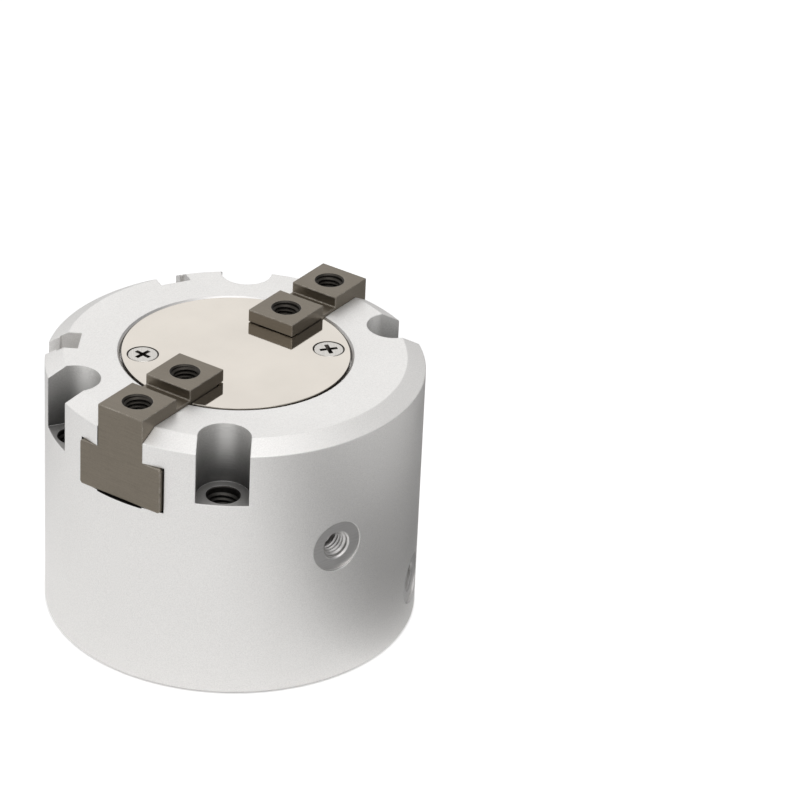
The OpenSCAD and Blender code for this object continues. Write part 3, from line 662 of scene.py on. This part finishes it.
def round_corner(before, corner, after, radius, steps=4):
    """Points of a small arc that takes a corner's place in an outline."""
    a, b, c = (Vector(p) for p in (before, corner, after))
    into, out = (a - b).normalized(), (c - b).normalized()
    half = into.angle(out) / 2
    reach = radius / math.tan(half)
    centre = b + (into + out).normalized() * (radius / math.sin(half))
    start, end = b + into * reach - centre, b + out * reach - centre
    sweep = start.angle(end)
    points = []
    for step in range(steps + 1):
        share = step / steps
        blend = start * (math.sin((1 - share) * sweep) / math.sin(sweep)) + end * (
            math.sin(share * sweep) / math.sin(sweep)
        )
        points.append(tuple(centre + blend))
    return points


def standing(*turns_and_moves):
    """One matrix from a row of matrices."""
    place = Matrix.Identity(4)
    for part in turns_and_moves:
        place = place @ part
    return place


def turn_z(radians):
    """A turn about the Z axis."""
    return Matrix.Rotation(radians, 4, "Z")


def facing_out(radians, height):
    """A place on the axis at a height, with its Z pointing outwards at that angle."""
    return standing(turn_z(radians), Matrix.Translation((0, 0, height)), Matrix.Rotation(math.pi / 2, 4, "Y"))


def apply_modifier(thing, modifier):
    """Works a modifier into the mesh."""
    with bpy.context.temp_override(object=thing, active_object=thing, selected_objects=[thing]):
        bpy.ops.object.modifier_apply(modifier=modifier.name)


def carve(thing, tools, operation="DIFFERENCE"):
    """Cuts each tool out of a piece, or keeps what they share, and removes the tools."""
    for tool in tools:
        modifier = thing.modifiers.new("Carve", "BOOLEAN")
        modifier.operation = operation
        modifier.solver = "EXACT"
        modifier.object = tool
        modifier.material_mode = "TRANSFER"
        apply_modifier(thing, modifier)
    for tool in tools:
        mesh = tool.data
        bpy.data.objects.remove(tool)
        bpy.data.meshes.remove(mesh)


def break_edges(thing, radius, above=25.0):
    """Rounds every edge of a piece that turns by more than some degrees."""
    modifier = thing.modifiers.new("Break edges", "BEVEL")
    modifier.width = radius
    modifier.segments = 2
    modifier.limit_method = "ANGLE"
    modifier.angle_limit = math.radians(above)
    apply_modifier(thing, modifier)


def smooth(thing, above=28.0):
    """Shades a piece smooth with its sharp edges kept, and keeps its flat faces flat."""
    mesh = thing.data
    mesh.polygons.foreach_set("use_smooth", [True] * len(mesh.polygons))
    mesh.set_sharp_from_angle(angle=math.radians(above))
    modifier = thing.modifiers.new("Even normals", "WEIGHTED_NORMAL")
    modifier.keep_sharp = True
    modifier.weight = 100
    apply_modifier(thing, modifier)


def settle(thing, body, slot_name, *nodes):
    """Smooths a piece, says which body it rides on and hides the CAD nodes that it stands for; slot_name is
    not used.
    """
    smooth(thing)
    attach(thing, body)
    if nodes:
        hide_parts(*nodes)
    return thing


# ---- pieces ----


def housing_blank(sizes):
    """The housing as turned, with its bevelled rim."""
    inset = 0.01 * MM
    r, h = BODY_BOX[1].x - inset, BODY_BOX[1].z
    rim_in, rim_out = (r - sizes.rim_bevel_w, h), (r, h - sizes.rim_bevel_h)
    outline = [(0, 0), (r - sizes.base_bevel, 0), (r, sizes.base_bevel)]
    outline += round_corner((r, 0), rim_out, rim_in, sizes.rim_round)
    outline += round_corner(rim_out, rim_in, (0, h), sizes.rim_round)
    outline += [(0, h)]
    return lambda bm: revolve(bm, outline, sizes.facets)


def cylinder_tool(sizes):
    """Everything that is bored from below: cap seat, ring groove, cylinder, gland and rod hole."""
    lead_w, lead_h = 1.4 * MM, 0.4 * MM
    groove_low, groove_high, seat_high = 1.35 * MM, 3.2 * MM, 8.1 * MM
    cylinder_high, gland_r, gland_high = 27.7 * MM, 9.5 * MM, 32.6 * MM
    rod_r, rod_high = 6.2 * MM, 34.6 * MM
    outline = [
        (0, -CUT), (sizes.seat_r + lead_w, -CUT), (sizes.seat_r, lead_h), (sizes.seat_r, groove_low),
        (sizes.ring_groove_r, groove_low), (sizes.ring_groove_r, groove_high), (sizes.seat_r, groove_high),
        (sizes.seat_r, seat_high), (sizes.bore_r, seat_high), (sizes.bore_r, cylinder_high),
        (gland_r, cylinder_high), (gland_r, gland_high),
        (rod_r, gland_high), (rod_r, rod_high), (0, rod_high),
    ]
    return lambda bm: revolve(bm, outline, facets=180)


def top_tool(sizes):
    """The recess for the end plate with its bevel, and the pocket below it."""
    h, floor, pocket_floor = BODY_BOX[1].z, PLATE_BOX[0].z, 33.6 * MM
    r = PLATE_BOX[1].y + sizes.recess_gap
    outline = [
        (0, pocket_floor), (sizes.pocket_r, pocket_floor), (sizes.pocket_r, floor), (r, floor),
        (r, h - sizes.recess_bevel), (r + sizes.recess_bevel + CUT, h + CUT), (0, h + CUT),
    ]
    return lambda bm: revolve(bm, outline, facets=240)


def jaw_slot_tool(jaws):
    """The T slot right across the housing, with the relief in its floor."""
    run_gap, foot_gap, relief_deep = 0.05 * MM, 0.25 * MM, 0.3 * MM
    neck, foot = jaws.neck_w / 2 + run_gap, jaws.foot_w / 2 + foot_gap
    low, high, top = jaws.foot_z0 - run_gap, jaws.foot_z1 + run_gap, BODY_BOX[1].z + CUT
    relief, floor = jaws.neck_w / 2, jaws.foot_z0 - relief_deep
    outline = [
        (-relief, floor), (relief, floor), (relief, low), (foot, low), (foot, high), (neck, high),
        (neck, top), (-neck, top), (-neck, high), (-foot, high), (-foot, low), (-relief, low),
    ]
    reach = BODY_BOX[1].x + CUT
    return lambda bm: extrude_outline(bm, outline, -reach, reach, LYING)


def mount_angles(sizes):
    """The directions of the four mounting holes."""
    return [sizes.mount_angle, math.pi - sizes.mount_angle, math.pi + sizes.mount_angle, -sizes.mount_angle]


def mount_place(sizes, radians):
    """The place of one mounting hole, on the base."""
    return standing(turn_z(radians), Matrix.Translation((sizes.mount_r, 0, 0)))


def mount_hole_tool(sizes, threads, radians):
    """The hole of one mounting screw, with a countersink at each end."""
    seat = BODY_BOX[1].z - sizes.mount_head_depth
    thread_r, lip = threads.mount_d / 2, 0.15 * MM
    outline = [
        (0, -CUT), (thread_r + lip + CUT, -CUT), (thread_r, lip), (thread_r, seat - lip),
        (thread_r + lip + CUT, seat + CUT), (0, seat + CUT),
    ]
    return lambda bm: revolve(bm, outline, facets=72, place=mount_place(sizes, radians))


def mount_pocket_tool(sizes, radians, steps=48):
    """The counterbore of one mounting screw, milled open to the side; its seat is the second material."""
    head_r, seat = sizes.mount_head_d / 2, BODY_BOX[1].z - sizes.mount_head_depth
    reach = BODY_BOX[1].x + CUT - sizes.mount_r
    outline = [(reach, -head_r), (reach, head_r)]
    for step in range(steps + 1):
        turn = math.pi / 2 + math.pi * step / steps
        outline.append((head_r * math.cos(turn), head_r * math.sin(turn)))
    just_above_seat = seat + 0.1 * MM

    def fill(bm):
        extrude_outline(bm, outline, seat, BODY_BOX[1].z + CUT, mount_place(sizes, radians))
        for face in bm.faces:
            if max(corner.co.z for corner in face.verts) < just_above_seat:
                face.material_index = 1

    return fill


def groove_tool(sizes, radians):
    """One groove for a magnetic switch, with the lips that hold it."""
    r = BODY_BOX[1].x
    floor, lip = r - sizes.groove_depth, r - sizes.groove_lip_t
    half, mouth = sizes.groove_w / 2, sizes.groove_mouth_w / 2
    outline = [
        (floor, -half), (lip, -half), (lip, -mouth), (r + CUT, -mouth),
        (r + CUT, mouth), (lip, mouth), (lip, half), (floor, half),
    ]
    return lambda bm: extrude_outline(bm, outline, -CUT, BODY_BOX[1].z + CUT, turn_z(radians))


def port_places(sizes):
    """Angle and height of the closing port and of the opening port."""
    half = math.pi / 2
    return [(-half - sizes.port_angle, sizes.port_close_z), (-half + sizes.port_angle, sizes.port_open_z)]


def port_tool(sizes, threads, radians, height):
    """One port from outside in: its flat, countersink, tapped hole with its drill point, and air passage."""
    flat = BODY_BOX[1].x - sizes.port_flat_depth
    floor = flat - sizes.port_depth
    r, edge, air = threads.finger_d / 2, 0.3 * MM, 1.0 * MM
    wide, point = r + edge, r * 0.4
    outline = [
        (0, sizes.bore_r - CUT), (air, sizes.bore_r - CUT), (air, floor - point), (r, floor),
        (r, flat - edge), (wide, flat), (sizes.port_flat_d / 2, flat),
        (sizes.port_flat_d / 2, BODY_BOX[1].x + CUT), (0, BODY_BOX[1].x + CUT),
    ]
    return lambda bm: revolve(bm, outline, facets=96, place=facing_out(radians, height))


def pin_tool():
    """The blind hole in the base for the locating pin."""
    r, deep, edge, point = 2.0 * MM, 5.0 * MM, 0.2 * MM, 0.6 * MM
    from_axis = 31.2 * MM
    place = Matrix.Translation((0, -from_axis, 0))
    outline = [(0, -CUT), (r + edge + CUT, -CUT), (r, edge), (r, deep), (0, deep + point)]
    return lambda bm: revolve(bm, outline, facets=64, place=place)


def thread_ridge(bm, outer_r, inner_r, pitch, low, high, steps, place):
    """A helical ridge between two heights of place, with its root just inside the wall."""
    turns = (high - low) / pitch
    count = max(2, int(turns * steps))
    sunk, run_out = 0.03 * MM, steps * 0.4
    root, half, flat = outer_r + sunk, pitch * 0.47, pitch * 0.07
    rows = []
    for step in range(count + 1):
        turn = 2 * math.pi * step / steps
        z = low + pitch * step / steps
        fade = min(1.0, step / run_out, (count - step) / run_out)
        crest = outer_r - (outer_r - inner_r) * fade
        section = ((root, z - half), (crest, z - flat), (crest, z + flat), (root, z + half))
        rows.append([
            bm.verts.new(place @ Vector((r * math.cos(turn), r * math.sin(turn), h))) for r, h in section
        ])
    skin(bm, rows)


def jaw_blank(name, jaws, wedge, material):
    """The jaw for the +X side: its side outline and its T section, kept where they overlap."""
    end_x, top = JAW_BOX[1].x, JAW_BOX[1].z
    key_x1 = end_x - jaws.block_l
    key_x0 = key_x1 - jaws.key_w
    block_x0 = key_x0 - jaws.block_l
    neck_x0 = block_x0 + jaws.block_overhang
    plate_low, plate_high = PLATE_BOX[0].z - jaws.slot_gap, PLATE_BOX[1].z + jaws.slot_gap
    slant = wedge.gap / math.cos(math.atan(wedge.ratio))
    inner_foot = wedge.top_half + wedge.ratio * (wedge.top_z - jaws.foot_z0) + slant
    tip_z = wedge.top_z + (wedge.top_half + slant - jaws.tip_half_gap - wedge.gap) / wedge.ratio
    key_z = top - jaws.key_depth
    side = [
        (inner_foot, jaws.foot_z0), (end_x, jaws.foot_z0), (end_x, top), (key_x1, top), (key_x1, key_z),
        (key_x0, key_z), (key_x0, top), (block_x0, top), (block_x0, plate_high), (neck_x0, plate_high),
        (neck_x0, plate_low), (jaws.tip_half_gap, plate_low), (jaws.tip_half_gap, min(tip_z, plate_low)),
    ]
    wide = jaws.foot_w / 2 + CUT
    blank = mesh_object(name, lambda bm: extrude_outline(bm, side, -wide, wide, UPRIGHT), material)
    neck, foot, b = jaws.neck_w / 2, jaws.foot_w / 2, jaws.long_bevel
    low, high = jaws.foot_z0, jaws.foot_z1
    section = [
        (-foot + b, low), (foot - b, low), (foot, low + b), (foot, high - b), (foot - b, high), (neck, high),
        (neck, top + CUT), (-neck, top + CUT), (-neck, high), (-foot + b, high), (-foot, high - b),
        (-foot, low + b),
    ]
    bar = mesh_object("bar", lambda bm: extrude_outline(bm, section, 0, end_x + CUT, LYING), material)
    carve(blank, [bar], "INTERSECT")
    break_edges(blank, jaws.edge_round)
    holes = [block_x0 + jaws.block_l / 2, key_x1 + jaws.block_l / 2]
    return blank, holes


def finger_hole_tool(jaws, threads, x):
    """One blind hole for a finger screw, with its drill point and countersink."""
    top = JAW_BOX[1].z
    r, point = threads.finger_d / 2, 0.9 * MM
    wide = threads.finger_inner_d / 2 + jaws.hole_countersink
    floor = top - jaws.hole_depth
    outline = [
        (0, floor - point), (r, floor), (r, top - (wide - r)), (wide + CUT, top + CUT), (0, top + CUT),
    ]
    return lambda bm: revolve(bm, outline, facets=72, place=Matrix.Translation((x, 0, 0)))


def wedge_slot_tool(wedge):
    """The slanted T slot in the inner face of the jaw."""
    g, t = wedge.gap, wedge.layer_t
    reach = 60 * MM
    place = standing(
        Matrix.Translation((wedge.top_half, 0, wedge.top_z)),
        Matrix.Rotation(-math.atan(wedge.ratio), 4, "Y"),
    )
    stem, head = wedge.stem_w / 2 + g, wedge.head_w / 2 + g
    outline = [
        (-t, -stem), (t - g, -stem), (t - g, -head), (2 * t + g, -head),
        (2 * t + g, head), (t - g, head), (t - g, stem), (-t, stem),
    ]
    return lambda bm: extrude_outline(bm, outline, -reach, reach, place)


def mirror_x(thing):
    """Turns a piece of the right jaw into one of the left jaw."""
    thing.data.transform(Matrix.Scale(-1, 4, (1, 0, 0)))
    thing.data.flip_normals()


def plate_outline(radius, slot_x, slot_half, steps=200):
    """The end plate's edge: two arcs joined by the slots that the jaws pass through."""
    start = math.asin(slot_half / radius)
    points = []
    for side in (0, math.pi):
        first, last = side + start, side + math.pi - start
        for step in range(steps + 1):
            turn = first + (last - first) * step / steps
            points.append((radius * math.cos(turn), radius * math.sin(turn)))
        sign = -1 if side == 0 else 1
        points += [(sign * slot_x, -sign * slot_half), (sign * slot_x, sign * slot_half)]
    return points


def screw_places(plate):
    """X and Y of the end plate's screws."""
    return [
        (plate.screw_r * math.cos(math.radians(a)), plate.screw_r * math.sin(math.radians(a)))
        for a in SCREW_ANGLES
    ]


def plate_sink_tool(plate, x, y):
    """The countersunk hole in the end plate for one screw."""
    low, top = PLATE_BOX[0].z - CUT, PLATE_BOX[1].z
    r = plate.head_d / 2 + plate.sink_gap
    outline = [
        (0, low), (SCREW_HOLE_R, low), (SCREW_HOLE_R, top - (r - SCREW_HOLE_R)),
        (r, top), (r + CUT, top + CUT), (0, top + CUT),
    ]
    return lambda bm: revolve(bm, outline, facets=96, place=Matrix.Translation((x, y, 0)))


def plate_screw_tool(x, y):
    """The hole in the housing for one screw of the end plate."""
    low, high = PLATE_BOX[1].z - SCREW_HOLE_L, PLATE_BOX[0].z + CUT
    outline = [(0, low), (SCREW_HOLE_R, low), (SCREW_HOLE_R, high), (0, high)]
    return lambda bm: revolve(bm, outline, facets=48, place=Matrix.Translation((x, y, 0)))


def cross_bar_tool(plate, x, y, turned):
    """One bar of a cross recess; it narrows towards the bottom."""
    place = standing(Matrix.Translation((x, y, PLATE_BOX[1].z)), turn_z(turned))
    l, w, above = plate.recess_l / 2, plate.recess_w / 2, 0.3 * MM
    levels = ((l * 0.3, w * 0.7, -plate.recess_depth), (l, w, 0), (l * 1.1, w, above))

    def fill(bm):
        rings = []
        for along, across, z in levels:
            corners = ((-along, -across), (along, -across), (along, across), (-along, across))
            rings.append([bm.verts.new(place @ Vector((a, b, z))) for a, b in corners])
        skin(bm, rings)

    return fill


def screw_blank(plate, x, y):
    """One countersunk screw with a broken edge and a slightly domed head."""
    top, head = PLATE_BOX[1].z, plate.head_d / 2
    edge, land, dome = 0.12 * MM, 0.22 * MM, 0.02 * MM
    outline = [
        (0, top - SCREW_L), (SCREW_R, top - SCREW_L), (SCREW_R, top - plate.head_h), (head, top - land),
        (head, top - edge), (head - edge, top - dome), (0, top),
    ]
    return lambda bm: revolve(bm, outline, facets=72, place=Matrix.Translation((x, y, 0)))


# ---- steps: one operator for each piece or group, and one for the stage ----


class GRIPPER_OT_housing(bpy.types.Operator):
    """Build the turned, milled and drilled housing"""

    bl_idname = "gripper.housing"
    bl_label = "Housing"

    def execute(self, context):
        sizes, threads = context.scene.gripper_housing, context.scene.gripper_threads
        screws = screw_places(context.scene.gripper_plate)
        outer, inner = finish("body_aluminium"), finish("machined_aluminium")
        # The near-black finish of the jaw slot and the mounting holes is painted shade.
        pocket, deep = finish("pocket_aluminium"), finish("tapped_aluminium")
        housing = mesh_object("housing_shell", housing_blank(sizes), outer)
        grooves = [math.pi / 2 + side * sizes.groove_angle for side in (-1, 1)]
        slots = [
            mesh_object("tool", jaw_slot_tool(context.scene.gripper_jaws), deep),
            *(mesh_object("tool", mount_pocket_tool(sizes, a), pocket, inner) for a in mount_angles(sizes)),
            *(mesh_object("tool", groove_tool(sizes, a), outer) for a in grooves),
        ]
        holes = [
            mesh_object("tool", top_tool(sizes), inner),
            mesh_object("tool", cylinder_tool(sizes), inner),
            mesh_object("tool", pin_tool(), inner),
            *(mesh_object("tool", mount_hole_tool(sizes, threads, a), deep) for a in mount_angles(sizes)),
            *(mesh_object("tool", port_tool(sizes, threads, a, z), inner) for a, z in port_places(sizes)),
            *(mesh_object("tool", plate_screw_tool(x, y), inner) for x, y in screws),
        ]
        carve(housing, slots + holes)
        settle(housing, "housing", "body_aluminium", "body")
        return {"FINISHED"}


class GRIPPER_OT_housing_threads(bpy.types.Operator):
    """Build the threads of the air ports and of the mounting holes"""

    bl_idname = "gripper.housing_threads"
    bl_label = "Housing threads"

    def execute(self, context):
        sizes, threads = context.scene.gripper_housing, context.scene.gripper_threads
        flat = BODY_BOX[1].x - sizes.port_flat_depth
        seat = BODY_BOX[1].z - sizes.mount_head_depth
        port_clear, mount_clear = 0.5 * MM, 0.8 * MM
        port_low, port_high = flat - sizes.port_depth + port_clear, flat - port_clear
        coarse = threads.steps * 3 // 4

        def ports(bm):
            for radians, height in port_places(sizes):
                thread_ridge(
                    bm, threads.finger_d / 2, threads.finger_inner_d / 2, threads.finger_pitch,
                    port_low, port_high, threads.steps, facing_out(radians, height),
                )

        def mounts(bm):
            for radians in mount_angles(sizes):
                thread_ridge(
                    bm, threads.mount_d / 2, sizes.mount_hole_d / 2, threads.mount_pitch,
                    mount_clear, seat - mount_clear, coarse, mount_place(sizes, radians),
                )

        in_ports = mesh_object("port_threads", ports, finish("machined_aluminium"))
        settle(in_ports, "housing", "body_aluminium")
        # The near-black finish of the mounting threads is painted shade.
        in_mounts = mesh_object("mounting_threads", mounts, finish("tapped_aluminium"))
        settle(in_mounts, "housing", "body_aluminium")
        return {"FINISHED"}


class GRIPPER_OT_jaws(bpy.types.Operator):
    """Build both jaws with their screw holes and threads"""

    bl_idname = "gripper.jaws"
    bl_label = "Jaws"

    def execute(self, context):
        jaws, threads = context.scene.gripper_jaws, context.scene.gripper_threads
        wedge = context.scene.gripper_wedge
        # The finger holes and their threads get the near-black finish: painted shade.
        steel, tapped = finish("jaw_steel"), finish("thread_steel")
        floor_clear, mouth_clear = 0.5 * MM, 0.45 * MM
        low, high = JAW_BOX[1].z - jaws.hole_depth + floor_clear, JAW_BOX[1].z - mouth_clear
        for side in ("right", "left"):
            blank, holes = jaw_blank(f"jaw_{side}_ground", jaws, wedge, steel)
            tools = [mesh_object("tool", finger_hole_tool(jaws, threads, x), tapped) for x in holes]
            tools.append(mesh_object("tool", wedge_slot_tool(wedge), steel))
            carve(blank, tools)

            def ridges(bm, places=holes):
                for x in places:
                    thread_ridge(
                        bm, threads.finger_d / 2, threads.finger_inner_d / 2, threads.finger_pitch,
                        low, high, threads.steps, Matrix.Translation((x, 0, 0)),
                    )

            thread = mesh_object(f"finger_threads_{side}", ridges, tapped)
            if side == "left":
                mirror_x(blank)
                mirror_x(thread)
            settle(blank, f"{side}_jaw", "jaw_steel", f"jaw_{side}")
            settle(thread, f"{side}_jaw", "jaw_steel")
        return {"FINISHED"}


class GRIPPER_OT_end_plate(bpy.types.Operator):
    """Build the polished end plate"""

    bl_idname = "gripper.end_plate"
    bl_label = "End plate"

    def execute(self, context):
        plate, jaws = context.scene.gripper_plate, context.scene.gripper_jaws
        end_gap = 0.2 * MM
        key_x0 = JAW_BOX[1].x - jaws.block_l - jaws.key_w
        slot_x = key_x0 - jaws.block_l + jaws.block_overhang - end_gap
        outline = plate_outline(PLATE_BOX[1].y, slot_x, jaws.neck_w / 2 + jaws.slot_gap)
        low, high = PLATE_BOX[0].z, PLATE_BOX[1].z
        # The countersinks get the near-black finish: painted shade that draws the dark ring round the screw
        # heads.
        steel, dark = finish("polished_steel"), finish("thread_steel")
        sheet = mesh_object("end_plate_polished", lambda bm: extrude_outline(bm, outline, low, high), steel)
        break_edges(sheet, plate.edge_round, above=40.0)
        sinks = [mesh_object("tool", plate_sink_tool(plate, x, y), dark) for x, y in screw_places(plate)]
        carve(sheet, sinks)
        settle(sheet, "housing", "polished_steel", "end_plate")
        return {"FINISHED"}


class GRIPPER_OT_plate_screws(bpy.types.Operator):
    """Build the two countersunk screws of the end plate"""

    bl_idname = "gripper.plate_screws"
    bl_label = "End plate screws"

    def execute(self, context):
        plate = context.scene.gripper_plate
        # The cross recesses get the near-black finish: painted shade.
        bright, dark = finish("screw_steel"), finish("thread_steel")
        for number, ((x, y), turned) in enumerate(zip(screw_places(plate), SCREW_TURNS), 1):
            screw = mesh_object(f"end_plate_screw_{number}", screw_blank(plate, x, y), bright)
            turns = (math.radians(turned), math.radians(turned) + math.pi / 2)
            bars = [cross_bar_tool(plate, x, y, turn) for turn in turns]
            carve(screw, [mesh_object("tool", bar, dark) for bar in bars])
            nodes = ["end_plate_screws"] if number == 1 else []
            settle(screw, "housing", "screw_steel", *nodes)
        return {"FINISHED"}


class GRIPPER_OT_carried_over(bpy.types.Operator):
    """Give each CAD node that stays its finish"""

    bl_idname = "gripper.carried_over"
    bl_label = "Inner parts"

    def execute(self, context):
        slots = {part["node"]: part["material_slot"] for part in frame["record"]["subparts"]}
        for name, node in frame["nodes"].items():
            if node.hide_render:
                continue
            node.data.materials.clear()
            node.data.materials.append(finish(slots[name]))
        return {"FINISHED"}


class GRIPPER_OT_stage(bpy.types.Operator):
    """Set up the floor, the light and the camera"""

    bl_idname = "gripper.stage"
    bl_label = "Stage"

    def execute(self, context):
        stage = context.scene.gripper_stage
        make_floor(stage)
        make_light(stage)
        make_camera(context, stage)
        context.scene.view_settings.view_transform = "Standard"
        return {"FINISHED"}


# ---- floor, light and camera ----


def room_right(stage):
    """The direction in which the room darkens."""
    return math.cos(stage.azimuth), math.sin(stage.azimuth), 0


def reflected(tree, path, place):
    """One for a ray that comes by reflection or through glass, else zero; returns the output."""
    return maths(tree, "MAXIMUM", path.outputs["Is Glossy Ray"], path.outputs["Is Transmission Ray"], place)


def make_floor(stage):
    """A pale floor, lifted to white except under the object; reflections see its dark side."""
    half, low, high = 6.0, -0.02, -0.00002
    square = [(-half, -half), (half, -half), (half, half), (-half, half)]
    floor = mesh_object("floor", lambda bm: extrude_outline(bm, square, low, high))
    material = bpy.data.materials.new("pale_floor")
    material.use_nodes = True
    tree = material.node_tree
    tree.nodes.clear()
    matt = add_node(tree, "ShaderNodeBsdfDiffuse", (0, 100))
    lift = add_node(tree, "ShaderNodeEmission", (0, -100))
    path = add_node(tree, "ShaderNodeLightPath", (-1000, 300))
    spot = add_node(tree, "ShaderNodeTexCoord", (-1200, -350))
    reach = add_node(tree, "ShaderNodeVectorMath", (-1000, -350), operation="LENGTH")
    tree.links.new(spot.outputs["Object"], reach.inputs[0])
    radius, lit, lit_behind = BODY_BOX[1].x, 0.84, 0.65
    inner, outer = radius * 0.97, radius * 1.01
    clear = span(tree, reach.outputs["Value"], inner, outer, 0.0, stage.floor_lift, (-800, -350))
    right = room_right(stage)
    aside = reach_along(tree, spot.outputs["Object"], right, (-1000, -550))
    near = span(tree, aside, radius * 0.75, radius * 1.5, lit, stage.room_dark, (-800, -500))
    far = span(tree, aside, radius * 2.3, radius * 3.6, stage.room_dark, lit, (-800, -600))
    beside = maths(tree, "MAXIMUM", near, far, (-700, -550))
    ahead = reach_along(tree, spot.outputs["Object"], (-right[1], right[0], 0), (-1000, -750))
    behind = span(tree, ahead, radius * 0.4, radius * 1.8, 1.0, lit_behind, (-800, -750))
    side = maths(tree, "MULTIPLY", beside, behind, (-650, -600))
    shiny = reflected(tree, path, (-800, 200))
    dimmed = maths(tree, "MULTIPLY", shiny, side, (-600, 0))
    seen = maths(tree, "MAXIMUM", path.outputs["Is Camera Ray"], dimmed, (-400, -50))
    tree.links.new(maths(tree, "MULTIPLY", seen, clear, (-200, -150)), lift.inputs["Strength"])
    kept = maths(tree, "MAXIMUM", path.outputs["Is Camera Ray"], side, (-400, 300))
    tree.links.new(blend_tones(tree, kept, (0, 0, 0), stage.floor, (-200, 200)), matt.inputs["Color"])
    both = add_node(tree, "ShaderNodeAddShader", (200, 0))
    out = add_node(tree, "ShaderNodeOutputMaterial", (400, 0))
    tree.links.new(matt.outputs[0], both.inputs[0])
    tree.links.new(lift.outputs[0], both.inputs[1])
    tree.links.new(both.outputs[0], out.inputs["Surface"])
    floor.data.materials.append(material)


def make_light(stage):
    """White all round for the camera; in reflections the room darkens to the right and near the floor."""
    world = bpy.data.worlds.new("studio")
    bpy.context.scene.world = world
    world.use_nodes = True
    tree = world.node_tree
    background = tree.nodes["Background"]
    background.inputs["Color"].default_value = (1, 1, 1, 1)
    path = add_node(tree, "ShaderNodeLightPath", (-900, 300))
    way = add_node(tree, "ShaderNodeTexCoord", (-1100, -100))
    height = split(tree, way.outputs["Generated"], (-900, -50))["Z"]
    near_floor, at_mid, overhead = 0.5, 1.3, 0.72
    rising = span(tree, height, 0.1, 0.45, near_floor, at_mid, (-700, 0))
    falling = span(tree, height, 0.55, 0.95, at_mid, overhead, (-700, -100))
    above = maths(tree, "MINIMUM", rising, falling, (-600, -50))
    aside = reach_along(tree, way.outputs["Generated"], room_right(stage), (-900, -250))
    beside = span(tree, aside, 0.4, 0.9, 1.0, stage.room_dark, (-700, -250))
    room = maths(tree, "MULTIPLY", above, beside, (-500, -200))
    shiny = reflected(tree, path, (-700, 200))
    unseen = span(tree, shiny, 0.0, 1.0, stage.sky, 0.0, (-500, 100))
    seen = maths(tree, "MULTIPLY", shiny, room, (-500, -100))
    soft = maths(tree, "MULTIPLY", unseen, beside, (-300, 100))
    level = maths(tree, "ADD", soft, seen, (-300, 0))
    strength = maths(tree, "MAXIMUM", level, path.outputs["Is Camera Ray"], (-150, 0))
    tree.links.new(strength, background.inputs["Strength"])
    lit_point = Vector((0, 0, 0.03))
    lamps = (
        ("key_light", stage.key_watts, 1.6, (-0.8, -0.3, 0.75)),
        ("fill_light", stage.fill_watts, 0.9, (0.5, -0.9, 0.5)),
        ("top_light", stage.top_watts, 0.8, (-0.25, -0.3, 1.0)),
    )
    for name, watts, size, place in lamps:
        lamp = bpy.data.lights.new(name, "AREA")
        lamp.energy = watts
        lamp.size = size
        made = bpy.data.objects.new(name, lamp)
        made.location = place
        aim = lit_point - Vector(place)
        made.rotation_mode = "QUATERNION"
        made.rotation_quaternion = aim.to_track_quat("-Z", "Y")
        bpy.context.scene.collection.objects.link(made)


def make_camera(context, stage):
    """A camera aimed at the middle of the top face, then turned, tilted and rolled."""
    a, e = stage.azimuth, stage.elevation
    back = Vector((math.sin(a) * math.cos(e), -math.cos(a) * math.cos(e), math.sin(e)))
    ahead = -back
    right = ahead.cross(Vector((0, 0, 1))).normalized()
    up = right.cross(ahead)
    turned = math.cos(stage.turn) * ahead + math.sin(stage.turn) * right
    right = math.cos(stage.turn) * right - math.sin(stage.turn) * ahead
    tilted = math.cos(stage.tilt) * turned + math.sin(stage.tilt) * up
    up = math.cos(stage.tilt) * up - math.sin(stage.tilt) * turned
    level_right, level_up = right.copy(), up.copy()
    right = math.cos(stage.roll) * level_right + math.sin(stage.roll) * level_up
    up = math.cos(stage.roll) * level_up - math.sin(stage.roll) * level_right
    lens = bpy.data.cameras.new("camera")
    lens.lens = stage.lens
    lens.sensor_width = 36
    lens.clip_start, lens.clip_end = 0.01, 20
    camera = bpy.data.objects.new("camera", lens)
    context.scene.collection.objects.link(camera)
    place = Matrix((right, up, -tilted)).transposed().to_4x4()
    place.translation = Vector((0, 0, BODY_BOX[1].z)) + back * stage.focus_distance
    camera.matrix_world = place
    context.scene.camera = camera


# ---- panel and registration ----


OPERATORS = (
    GRIPPER_OT_housing,
    GRIPPER_OT_housing_threads,
    GRIPPER_OT_jaws,
    GRIPPER_OT_end_plate,
    GRIPPER_OT_plate_screws,
    GRIPPER_OT_carried_over,
    GRIPPER_OT_stage,
)


class GRIPPER_PT_panel(bpy.types.Panel):
    """Lists the steps that build the gripper"""

    bl_label = "Round Gripper"
    bl_idname = "GRIPPER_PT_panel"
    bl_space_type = "VIEW_3D"
    bl_region_type = "UI"
    bl_category = "Gripper"

    def draw(self, context):
        for operator in OPERATORS:
            self.layout.operator(operator.bl_idname)
        for name, group in GROUPS.items():
            column = self.layout.column(align=True)
            column.label(text=group.__doc__)
            for key in group.__annotations__:
                column.prop(getattr(context.scene, name), key)


def register():
    for kind in (*GROUPS.values(), *OPERATORS, GRIPPER_PT_panel):
        bpy.utils.register_class(kind)
    for name, group in GROUPS.items():
        setattr(bpy.types.Scene, name, PointerProperty(type=group))


def unregister():
    for name in GROUPS:
        delattr(bpy.types.Scene, name)
    for kind in reversed((*GROUPS.values(), *OPERATORS, GRIPPER_PT_panel)):
        bpy.utils.unregister_class(kind)


def main():
    """Builds every piece and the stage."""
    register()
    for operator in OPERATORS:
        group, name = operator.bl_idname.split(".")
        getattr(getattr(bpy.ops, group), name)()


if __name__ == "__main__":
    main()
